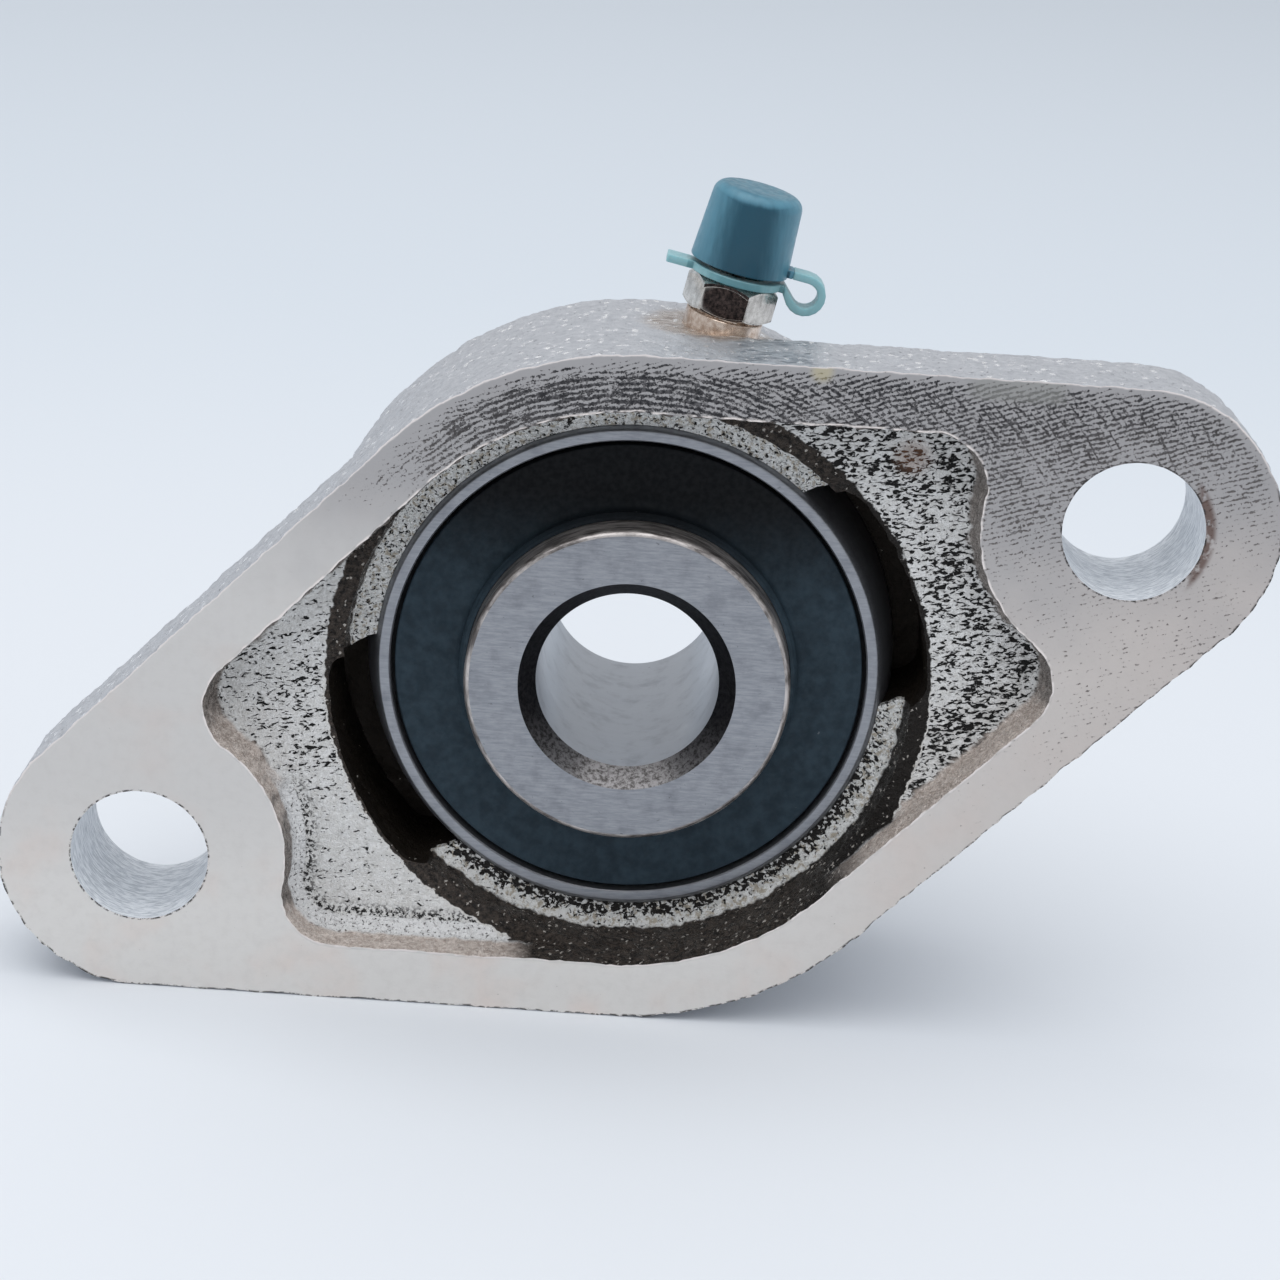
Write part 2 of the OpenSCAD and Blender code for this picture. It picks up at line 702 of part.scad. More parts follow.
module nipple_spring() {
    color(steel) stand(stance) on_nipple_axis() translate([0, 0, spring_seat + touch_gap / 2])
        coil(spring_r, spring_wire / 2, spring_top - spring_seat - touch_gap, spring_turns);
}

// Moulded cap: a tapered cup with a rounded closed end and a lug for its strap
module nipple_cap() {
    hollow_h = cap_h - cap_top_t;
    corner_h = 0.7;
    color(teal) stand(stance) on_nipple_axis() difference() {
        union() {
            rotate_extrude() translate([0, cap_from]) polygon(concat(
                [[0, 0], [cap_d / 2, 0]],
                bend([cap_top_d / 2 - cap_round, cap_h - cap_round], cap_round, 0, 90),
                [[0, cap_h]]));
            translate([-strap_w / 2, -cap_join, lug_from])
                cube([strap_w, cap_join - cap_hollow_d / 2, strap_t]);
        }
        rotate_extrude() polygon([
            [0, cap_from - overcut], [cap_hollow_d / 2, cap_from - overcut],
            [cap_hollow_d / 2, cap_from + hollow_h - corner_h],
            [cap_hollow_d / 2 - corner_h, cap_from + hollow_h], [0, cap_from + hollow_h]]);
    }
}

// Flat ring round the nipple's neck, with the pull tab on the far side from the strap
module cap_neck_ring() {
    color(teal) stand(stance) on_nipple_axis() translate([0, 0, neck_ring_from]) difference() {
        union() {
            cylinder(r = neck_ring_r, h = strap_t);
            translate([-strap_w / 2, 0, 0]) cube([strap_w, tab_reach, strap_t]);
            translate([-strap_w / 2, -ring_join, 0]) cube([strap_w, ring_join, strap_t]);
        }
        translate([0, 0, -overcut])
            cylinder(d = neck_d + 2 * loose_gap, h = strap_t + 2 * overcut);
    }
}

// Strap that loops from the neck ring out and back up to the lug of the cap
module cap_strap() {
    half = strap_t / 2;
    foot = [ring_join, neck_ring_from + half];
    mid = [strap_reach - half - strap_bend, lug_from + half - strap_bend];
    away = mid - foot;
    leg_angle = atan2(away.y, away.x) - asin(strap_bend / norm(away));
    color(teal) stand(stance) on_nipple_axis()
        rotate([90, 0, 90]) mirror([1, 0, 0])
            linear_extrude(strap_w, center = true) polygon(concat(
                [foot - [0, half]],
                turn_points(mid, strap_bend + half, leg_angle - 90, 90),
                [[cap_join, lug_from + strap_t], [cap_join, lug_from]],
                turn_points(mid, strap_bend - half, 90, leg_angle - 90),
                [foot + [0, half]]));
}

housing();
outer_ring();
inner_ring();
ball(1);  // ball_1
ball(2);  // ball_2
ball(3);  // ball_3
ball(4);  // ball_4
ball(5);  // ball_5
ball(6);  // ball_6
ball(7);  // ball_7
ball(8);  // ball_8
cage_half(false);  // cage_back
cage_half(true);  // cage_front
cage_rivets();
seal_core(false);  // seal_back_core
seal_rubber(false);  // seal_back_rubber
seal_core(true);  // seal_front_core
seal_rubber(true);  // seal_front_rubber
flinger_disc(false);  // flinger_back_disc
flinger_cover(false);  // flinger_back_rubber
flinger_disc(true);  // flinger_front_disc
flinger_cover(true);  // flinger_front_rubber
set_screw(screw_angles[0]);  // set_screw_1
set_screw(screw_angles[1]);  // set_screw_2
grease_nipple();
nipple_ball();
nipple_spring();
nipple_cap();
cap_strap();
cap_neck_ring();
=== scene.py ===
import json
import math
import bpy
from mathutils import Matrix, Vector, kdtree, noise


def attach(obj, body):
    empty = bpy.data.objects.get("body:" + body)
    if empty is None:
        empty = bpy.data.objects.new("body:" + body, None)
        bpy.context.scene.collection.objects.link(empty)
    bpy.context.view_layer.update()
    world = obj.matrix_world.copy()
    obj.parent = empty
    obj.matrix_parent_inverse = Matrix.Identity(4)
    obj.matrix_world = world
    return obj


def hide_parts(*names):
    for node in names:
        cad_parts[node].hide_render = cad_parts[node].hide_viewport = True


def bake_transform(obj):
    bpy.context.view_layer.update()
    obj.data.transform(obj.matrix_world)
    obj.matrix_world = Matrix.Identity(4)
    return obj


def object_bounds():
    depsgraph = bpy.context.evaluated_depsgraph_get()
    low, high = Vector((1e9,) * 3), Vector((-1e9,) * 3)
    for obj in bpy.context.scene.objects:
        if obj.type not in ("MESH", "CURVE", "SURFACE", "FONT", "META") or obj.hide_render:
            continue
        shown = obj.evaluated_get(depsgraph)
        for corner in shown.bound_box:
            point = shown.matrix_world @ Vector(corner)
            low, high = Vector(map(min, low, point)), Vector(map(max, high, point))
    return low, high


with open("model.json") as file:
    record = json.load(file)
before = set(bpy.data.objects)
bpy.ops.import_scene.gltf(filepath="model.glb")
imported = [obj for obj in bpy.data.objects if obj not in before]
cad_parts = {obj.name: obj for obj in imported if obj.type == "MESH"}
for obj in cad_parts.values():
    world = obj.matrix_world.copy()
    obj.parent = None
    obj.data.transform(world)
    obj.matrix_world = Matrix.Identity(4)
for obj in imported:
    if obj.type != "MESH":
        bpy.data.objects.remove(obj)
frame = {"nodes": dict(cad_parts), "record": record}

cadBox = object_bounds()
mm = 0.001
scene = bpy.context.scene
middleY = 15.0  # the middle of the bearing, in millimetres above the mounting face


# small helpers for modelling

def deselectAll():
    if bpy.context.object and bpy.context.object.mode != "OBJECT":
        bpy.ops.object.mode_set(mode="OBJECT")
    bpy.ops.object.select_all(action="DESELECT")


def pick(piece):
    deselectAll()
    piece.select_set(True)
    bpy.context.view_layer.objects.active = piece


def smoothed(piece, angle=32):
    pick(piece)
    bpy.ops.object.shade_smooth_by_angle(angle=math.radians(angle))
    return piece


def modified(piece, kind, **settings):
    pick(piece)
    change = piece.modifiers.new(kind.lower(), kind)
    for name, value in settings.items():
        setattr(change, name, value)
    bpy.ops.object.modifier_apply(modifier=change.name)
    return piece


# a merged copy of a CAD node, which then takes the node's place
def copyOf(node, name, body):
    piece = bpy.data.objects.new(name, frame["nodes"][node].data.copy())
    scene.collection.objects.link(piece)
    piece.data.materials.clear()
    pick(piece)
    bpy.ops.object.mode_set(mode="EDIT")
    bpy.ops.mesh.select_all(action="SELECT")
    bpy.ops.mesh.remove_doubles(threshold=2e-6)
    bpy.ops.mesh.normals_make_consistent(inside=False)
    bpy.ops.object.mode_set(mode="OBJECT")
    if body:
        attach(piece, body)
    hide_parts(node)
    return piece


# a closed section is drawn point by point in the plane of the bore axis, then spun round it
def spunPiece(name, section, steps=180):
    deselectAll()
    bpy.ops.mesh.primitive_plane_add(size=mm)
    piece = bpy.context.object
    piece.name = name
    bpy.ops.object.mode_set(mode="EDIT")
    bpy.ops.mesh.merge(type="CENTER")
    bpy.ops.transform.translate(value=(section[0][0] * mm, section[0][1] * mm, 0))
    for (r, y), (nextR, nextY) in zip(section, section[1:] + section[:1]):
        bpy.ops.mesh.extrude_region_move(
            TRANSFORM_OT_translate={"value": ((nextR - r) * mm, (nextY - y) * mm, 0)})
    bpy.ops.mesh.select_all(action="SELECT")
    bpy.ops.mesh.remove_doubles(threshold=1e-6)
    bpy.ops.mesh.spin(steps=steps, angle=math.tau, center=(0, 0, 0), axis=(0, 1, 0))
    bpy.ops.mesh.select_all(action="SELECT")
    bpy.ops.mesh.remove_doubles(threshold=1e-6)
    bpy.ops.mesh.normals_make_consistent(inside=False)
    bpy.ops.object.mode_set(mode="OBJECT")
    return piece


# points of a rounding, from one angle to another in degrees
def rounding(centre, radius, fromAngle, toAngle, steps=6):
    turns = [math.radians(fromAngle + (toAngle - fromAngle) * i / steps) for i in range(steps + 1)]
    return [(centre[0] + radius * math.cos(t), centre[1] + radius * math.sin(t)) for t in turns]


def bodyOf(node):
    bodies = frame["record"]["behaviour"]["bodies"]
    return next(body for body, nodes in bodies.items() if node in nodes)


# small helpers for materials

def addNode(tree, kind, **settings):
    made = tree.nodes.new(kind)
    for name, value in settings.items():
        if name in made.inputs:
            made.inputs[name].default_value = value
        else:
            setattr(made, name, value)
    return made


def join(tree, source, target):
    tree.links.new(source, target)


# a socket takes a number, a colour or the output of another node
def fill(tree, socket, value):
    if isinstance(value, (int, float)):
        socket.default_value = value
    elif isinstance(value, tuple):
        socket.default_value = (*value, 1.0)
    else:
        join(tree, value, socket)


def maths(tree, operation, *values):
    made = addNode(tree, "ShaderNodeMath", operation=operation)
    for i, value in enumerate(values):
        fill(tree, made.inputs[i], value)
    return made.outputs[0]


def times(tree, a, b):
    return maths(tree, "MULTIPLY", a, b)


def plus(tree, a, b):
    return maths(tree, "ADD", a, b)


def minus(tree, a, b):
    return maths(tree, "SUBTRACT", a, b)


def timesPlus(tree, a, b, c):
    return maths(tree, "MULTIPLY_ADD", a, b, c)


# goes smoothly from one value to another while the first number passes from low to high
def fade(tree, value, low, high, fromValue=0.0, toValue=1.0):
    made = addNode(tree, "ShaderNodeMapRange", interpolation_type="SMOOTHSTEP")
    for i, item in enumerate((value, low, high, fromValue, toValue)):
        fill(tree, made.inputs[i], item)
    return made.outputs[0]


def blendColours(tree, factor, a, b):
    made = addNode(tree, "ShaderNodeMix", data_type="RGBA")
    for i, value in ((0, factor), (6, a), (7, b)):
        fill(tree, made.inputs[i], value)
    return made.outputs[2]


def noiseOf(tree, vector, scale, detail=2.0, roughness=0.5):
    made = addNode(tree, "ShaderNodeTexNoise", Scale=scale, Detail=detail, Roughness=roughness)
    join(tree, vector, made.inputs["Vector"])
    return made.outputs["Fac"]


def splitXYZ(tree, vector):
    made = addNode(tree, "ShaderNodeSeparateXYZ")
    join(tree, vector, made.inputs[0])
    return made.outputs


def combineXYZ(tree, *parts):
    made = addNode(tree, "ShaderNodeCombineXYZ")
    for i, part in enumerate(parts):
        join(tree, part, made.inputs[i])
    return made.outputs[0]


# the way the surface faces, in three numbers
def facingOf(tree):
    return splitXYZ(tree, addNode(tree, "ShaderNodeNewGeometry").outputs["Normal"])


# object coordinates in millimetres
def placeInMillimetres(tree):
    scaled = addNode(tree, "ShaderNodeVectorMath", operation="SCALE", Scale=1 / mm)
    join(tree, addNode(tree, "ShaderNodeTexCoord").outputs["Object"], scaled.inputs[0])
    return scaled.outputs[0]


# colours are written as they look on a screen, from 0 to 255
def screen(r, g, b):
    def linear(v):
        v = v / 255
        return v / 12.92 if v <= 0.04045 else ((v + 0.055) / 1.055) ** 2.4
    return (linear(r), linear(g), linear(b))


def newGroup(name, inputs, outputs):
    group = bpy.data.node_groups.new(name, "ShaderNodeTree")
    for label, kind, value in inputs:
        socket = group.interface.new_socket(label, in_out="INPUT", socket_type=kind)
        if value is not None:
            socket.default_value = value
    for label, kind in outputs:
        group.interface.new_socket(label, in_out="OUTPUT", socket_type=kind)
    return group, addNode(group, "NodeGroupOutput")


# object coordinates in millimetres, straight and as radius, turn and height round the bore
def makePlaceGroup():
    group, result = newGroup("placeOnPart", [], [
        ("Millimetres", "NodeSocketVector"), ("Across", "NodeSocketFloat"),
        ("Along Bore", "NodeSocketFloat"), ("Up", "NodeSocketFloat"),
        ("Radius", "NodeSocketFloat"), ("Around", "NodeSocketVector")])
    where = placeInMillimetres(group)
    x, y, z = splitXYZ(group, where)
    radius = maths(group, "SQRT", plus(group, times(group, x, x), times(group, z, z)))
    around = combineXYZ(group, radius, maths(group, "ARCTAN2", z, x), y)
    for label, source in (("Millimetres", where), ("Across", x), ("Along Bore", y),
                          ("Up", z), ("Radius", radius), ("Around", around)):
        join(group, source, result.inputs[label])
    return group


# short dark flecks between grains: a stretched noise cut at a level that sets how much is dark
def makeFleckGroup():
    group, result = newGroup("castFlecks", [
        ("Vector", "NodeSocketVector", None), ("Stretch", "NodeSocketFloat", 0.45),
        ("Grain", "NodeSocketFloat", 2.0), ("Coverage", "NodeSocketFloat", 0.3),
        ("Softness", "NodeSocketFloat", 0.03)],
        [("Mask", "NodeSocketFloat")])
    entry = addNode(group, "NodeGroupInput")
    x, y, z = splitXYZ(group, entry.outputs["Vector"])
    mixed = combineXYZ(group, times(group, x, entry.outputs["Stretch"]), y, z)
    grains = addNode(group, "ShaderNodeTexNoise", Detail=3.0, Roughness=0.55, Distortion=0.6)
    join(group, mixed, grains.inputs["Vector"])
    join(group, entry.outputs["Grain"], grains.inputs["Scale"])
    # noise lies mostly between 0.3 and 0.7, so the level follows the coverage over that span
    level = fade(group, entry.outputs["Coverage"], 0.0, 1.0, 0.72, 0.30)
    low = minus(group, level, entry.outputs["Softness"])
    high = plus(group, level, entry.outputs["Softness"])
    join(group, fade(group, grains.outputs["Fac"], low, high), result.inputs["Mask"])
    return group


# scattered dots: painted glints on the metal, dust on the rubber
def makeGlintAndDustGroup():
    group, result = newGroup("glintAndDustDots", [
        ("Vector", "NodeSocketVector", None), ("Spacing", "NodeSocketFloat", 1.5),
        ("Size", "NodeSocketFloat", 0.16), ("Share", "NodeSocketFloat", 0.3)],
        [("Mask", "NodeSocketFloat")])
    entry = addNode(group, "NodeGroupInput")
    cells = addNode(group, "ShaderNodeTexVoronoi", feature="F1")
    torn = noiseOf(group, entry.outputs["Vector"], 5.0, 2)
    shifted = addNode(group, "ShaderNodeVectorMath", operation="ADD")
    join(group, entry.outputs["Vector"], shifted.inputs[0])
    join(group, times(group, torn, 0.5), shifted.inputs[1])
    join(group, shifted.outputs[0], cells.inputs["Vector"])
    join(group, entry.outputs["Spacing"], cells.inputs["Scale"])
    pickOut = addNode(group, "ShaderNodeSeparateColor")
    join(group, cells.outputs["Color"], pickOut.inputs[0])
    chosen = maths(group, "LESS_THAN", pickOut.outputs[0], entry.outputs["Share"])
    size = times(group, entry.outputs["Size"], plus(group, 0.4, pickOut.outputs[1]))
    near = maths(group, "LESS_THAN", cells.outputs["Distance"], size)
    join(group, times(group, chosen, near), result.inputs["Mask"])
    return group


# dark strokes between fine parallel ridges: X runs along the strokes and Y across them
def makeStrokeGroup():
    group, result = newGroup("facingStrokes", [
        ("Vector", "NodeSocketVector", None), ("Pitch", "NodeSocketFloat", 0.55),
        ("Length", "NodeSocketFloat", 2.0), ("Coverage", "NodeSocketFloat", 0.4)],
        [("Mask", "NodeSocketFloat")])
    entry = addNode(group, "NodeGroupInput")
    x, y = splitXYZ(group, entry.outputs["Vector"])[:2]
    along = maths(group, "DIVIDE", x, entry.outputs["Length"])
    across = maths(group, "DIVIDE", y, entry.outputs["Pitch"])
    sway = times(group, noiseOf(group, entry.outputs["Vector"], 0.3, 3), 1.6)
    row = plus(group, across, sway)
    ridge = timesPlus(group, maths(group, "SINE", times(group, row, math.tau)), 0.5, 0.5)
    cell = combineXYZ(group, along, times(group, row, 0.9))
    stroke = noiseOf(group, cell, 1.0, 3, 0.6)
    crumbs = noiseOf(group, entry.outputs["Vector"], 3.6, 3, 0.7)
    value = timesPlus(group, stroke, 0.95, times(group, ridge, 0.3))
    value = timesPlus(group, crumbs, 1.15, value)
    level = timesPlus(group, entry.outputs["Coverage"], 0.8, 0.76)
    low = minus(group, level, 0.08)
    high = plus(group, level, 0.08)
    join(group, fade(group, value, low, high, 1.0, 0.0), result.inputs["Mask"])
    return group


nippleAxis = (0.204092, 0.0, 0.978952)


# height along the nipple's axis and distance from it, in millimetres
def makeNipplePlaceGroup():
    group, result = newGroup("placeOnNipple", [], [
        ("Height", "NodeSocketFloat"), ("From Axis", "NodeSocketFloat")])
    shifted = addNode(group, "ShaderNodeVectorMath", operation="SUBTRACT")
    join(group, placeInMillimetres(group), shifted.inputs[0])
    shifted.inputs[1].default_value = (0, middleY, 0)
    height = addNode(group, "ShaderNodeVectorMath", operation="DOT_PRODUCT")
    join(group, shifted.outputs[0], height.inputs[0])
    height.inputs[1].default_value = nippleAxis
    onAxis = addNode(group, "ShaderNodeVectorMath", operation="SCALE")
    onAxis.inputs[0].default_value = nippleAxis
    join(group, height.outputs["Value"], onAxis.inputs["Scale"])
    away = addNode(group, "ShaderNodeVectorMath", operation="DISTANCE")
    join(group, shifted.outputs[0], away.inputs[0])
    join(group, onAxis.outputs[0], away.inputs[1])
    join(group, height.outputs["Value"], result.inputs["Height"])
    join(group, away.outputs["Value"], result.inputs["From Axis"])
    return group


placeGroup = makePlaceGroup()
strokeGroup = makeStrokeGroup()
nipplePlaceGroup = makeNipplePlaceGroup()
fleckGroup = makeFleckGroup()
glintAndDustGroup = makeGlintAndDustGroup()


def addDistance(tree, vector, point):
    made = addNode(tree, "ShaderNodeVectorMath", operation="DISTANCE")
    join(tree, vector, made.inputs[0])
    made.inputs[1].default_value = point
    return made.outputs["Value"]


def useGroup(tree, group, **values):
    made = addNode(tree, "ShaderNodeGroup", node_tree=group)
    for label, value in values.items():
        fill(tree, made.inputs[label], value)
    return made


def newMaterial(name, colour, **constants):
    material = bpy.data.materials.new(name)
    material.use_nodes = True
    tree = material.node_tree
    shader = tree.nodes["Principled BSDF"]
    shader.inputs["Base Color"].default_value = (*colour, 1.0)
    for label, value in constants.items():
        shader.inputs[label].default_value = value
    material.diffuse_color = (*colour, 1.0)
    place = useGroup(tree, placeGroup)
    return material, tree, shader, place


def bump(tree, shader, height, distance, strength=1.0):
    made = addNode(tree, "ShaderNodeBump", Strength=strength, Distance=distance * mm)
    join(tree, height, made.inputs["Height"])
    join(tree, made.outputs[0], shader.inputs["Normal"])


# the camera, at the photograph's place: a long lens, a little above the part
camera = {"at": (1.085, -252.591, 91.822), "right": (0.997796, 0.022252, 0.062518),
          "down": (0.066355, -0.323534, -0.943887), "focalPixels": 3150.9, "imageWidth": 1280,
          "sensorWidth": 36}


def makeCamera():
    lens = bpy.data.cameras.new("camera")
    lens.sensor_width = camera["sensorWidth"]
    lens.lens = camera["focalPixels"] / camera["imageWidth"] * lens.sensor_width
    lens.clip_start = 0.01
    lens.clip_end = 20
    eye = bpy.data.objects.new("camera", lens)
    scene.collection.objects.link(eye)
    right = Vector(camera["right"]).normalized()
    up = -Vector(camera["down"]).normalized()
    back = right.cross(up)
    turn = Matrix((right, up, back)).transposed().to_4x4()
    eye.matrix_world = Matrix.Translation(Vector(camera["at"]) * mm) @ turn
    scene.camera = eye


makeCamera()
print("camera made")


# the housing: the casting's form, remeshed finely, roughened where it is left as cast
housing = {"octree": 8, "fill": 0.93, "hubR": 30.0, "lobeR": 12.4, "boltU": 45.0, "boltR": 6.0,
           "slotHalfW": 10.5, "rim": 4.0, "sideRough": 0.13, "recessRough": 0.2, "edgeWave": 0.14,
           "sideLump": 2.2, "sideGrain": 0.8, "recessLump": 1.3, "edgeLump": 1.6}
# limits of its finishes: heights above the mounting face and distances from the bore axis
finish = {"faceTo": 0.04, "wallFrom": 3.3, "slotFloorFrom": 4.25, "seatFrom": 7.2, "ledgeTo": 7.3,
          "recessTo": 12.0, "slotTo": 16.0, "seatTo": 23.5, "drillSpare": 0.15, "boltRim": 0.5,
          "seatR": 23.7, "slotFromR": 24.4, "wellR": 26.8, "earsToR": 46.0}
# the flange rests on a straight edge, which turns the line through its bolt holes by this angle
stance = math.asin((housing["hubR"] - housing["lobeR"]) / housing["boltU"])
sideNormal = Vector((math.sin(stance), math.cos(stance)))


# plan coordinates: u along the line through the bolt holes, w across it
def planOf(p):
    u = (p.x * math.cos(stance) + p.z * math.sin(stance)) / mm
    w = (-p.x * math.sin(stance) + p.z * math.cos(stance)) / mm
    return u, w


# how far a point of the plan lies inside the flange's outline, in millimetres
def insideOutline(u, w):
    q = Vector((abs(u), abs(w)))
    along = q.dot(Vector((sideNormal.y, -sideNormal.x)))
    if along < 0:
        return housing["hubR"] - q.length
    if along > housing["boltU"] * sideNormal.y:
        return housing["lobeR"] - (q - Vector((housing["boltU"], 0))).length
    return housing["hubR"] - q.dot(sideNormal)


# smooth random bumps of a size in millimetres; the seed picks another pattern
def roughness(p, size, seed):
    at = Vector(p) / (size * mm) + Vector((seed, seed * 1.7, -seed))
    return noise.fractal(at, 0.6, 2.1, 3)


# the finish of a face, from its place and the way it faces
def regionOf(centre, normal):
    x, y, z = centre / mm
    u, w = planOf(centre)
    r = math.hypot(u, w)
    fromBolt = math.hypot(abs(u) - housing["boltU"], w) - housing["boltR"]
    outward = (normal.x * x + normal.z * z) / max(r, 1)
    if y < finish["faceTo"] and normal.y < -0.8:
        return "groundFace"
    if fromBolt < finish["drillSpare"] and abs(normal.y) < 0.6:
        return "boltHole"
    atSeat = r < finish["seatR"] and finish["seatFrom"] < y < finish["seatTo"]
    if atSeat and (y > finish["slotTo"] or outward < -0.6):
        return "seat"
    if normal.y > 0.5 or outward > 0.3 and y > finish["ledgeTo"]:
        return "castSide"
    inRecess = insideOutline(u, w) > housing["rim"] and r < finish["earsToR"]
    if y < finish["slotTo"] and inRecess and fromBolt > finish["boltRim"]:
        steep = abs(normal.y) < 0.7 and y > finish["wallFrom"] and r < finish["wellR"]
        inSlot = abs(w) < housing["slotHalfW"] and r > finish["slotFromR"]
        if inSlot and (y > finish["slotFloorFrom"] or steep) or y > finish["ledgeTo"]:
            return "slot"
        if y < finish["recessTo"]:
            return "recess"
    return "castSide"


# machined faces keep their form, cast ones get bumps and the edges of the ground face a wave
def makeHousing(materials):
    piece = copyOf("housing", "housingCasting", "housing_body")
    modified(piece, "REMESH", mode="SHARP", octree_depth=housing["octree"],
             scale=housing["fill"], sharpness=1.0, use_remove_disconnected=False)
    mesh = piece.data
    order = list(materials)
    for name in order:
        mesh.materials.append(materials[name])
    regions = [set() for v in mesh.vertices]
    for face in mesh.polygons:
        region = regionOf(face.center, face.normal)
        face.material_index = order.index(region)
        for v in face.vertices:
            regions[v].add(region)
    lips = [v.co.copy() for v in mesh.vertices
            if "groundFace" in regions[v.index] and regions[v.index] & {"recess", "slot"}]
    lipTree = kdtree.KDTree(len(lips))
    for i, place in enumerate(lips):
        lipTree.insert(place, i)
    lipTree.balance()
    edgeDistance = mesh.attributes.new("edgeDistance", "FLOAT", "POINT")
    lipDistance = mesh.attributes.new("lipDistance", "FLOAT", "POINT")
    moved = []
    for v in mesh.vertices:
        edgeDistance.data[v.index].value = insideOutline(*planOf(v.co))
        lipDistance.data[v.index].value = lipTree.find(v.co)[2] / mm
        here = regions[v.index]
        normal = v.normal.copy()
        push = 0.0
        if here <= {"recess", "slot"}:
            push = housing["recessRough"] * roughness(v.co, housing["recessLump"], 3)
        elif here == {"castSide"}:
            push = housing["sideRough"] * (roughness(v.co, housing["sideLump"], 8) - 0.4)
            push += 0.6 * housing["sideRough"] * roughness(v.co, housing["sideGrain"], 5)
        elif "groundFace" in here and len(here) > 1 and not here & {"seat", "boltHole"}:
            normal.y = 0
            if normal.length > 1e-6:
                normal.normalize()
            push = housing["edgeWave"] * (roughness(v.co, housing["edgeLump"], 11) - 0.3)
        moved.append(v.co + normal * push * mm)
    for v, place in zip(mesh.vertices, moved):
        v.co = place
    mesh.update()
    smoothed(piece, 40)
    print("housing:", len(mesh.polygons), "faces")
    return piece


def attributeOf(tree, name):
    return addNode(tree, "ShaderNodeAttribute", attribute_name=name).outputs["Fac"]


# a pattern's place, turned about the bore's direction and then stretched
def turned(tree, vector, degrees, scale=(1.0, 1.0, 1.0)):
    made = addNode(tree, "ShaderNodeMapping", Scale=scale, Rotation=(0, math.radians(degrees), 0))
    join(tree, vector, made.inputs["Vector"])
    return made.outputs[0]


# marks on the ground face, in millimetres across, up and from a point
faceMarks = {"skinMiddle": 5, "stainAt": (14.4, 0, 29.6), "stainR": 1.3, "smearAcross": 30.6,
             "smearHalfW": 4.6, "smearInside": 2.3, "smearUp": 10, "rustR": 7.1, "rustAcross": 46.0,
             "burrR": 6.2, "arcPitch": 0.5, "dentPitch": 0.42, "arcR": 29}


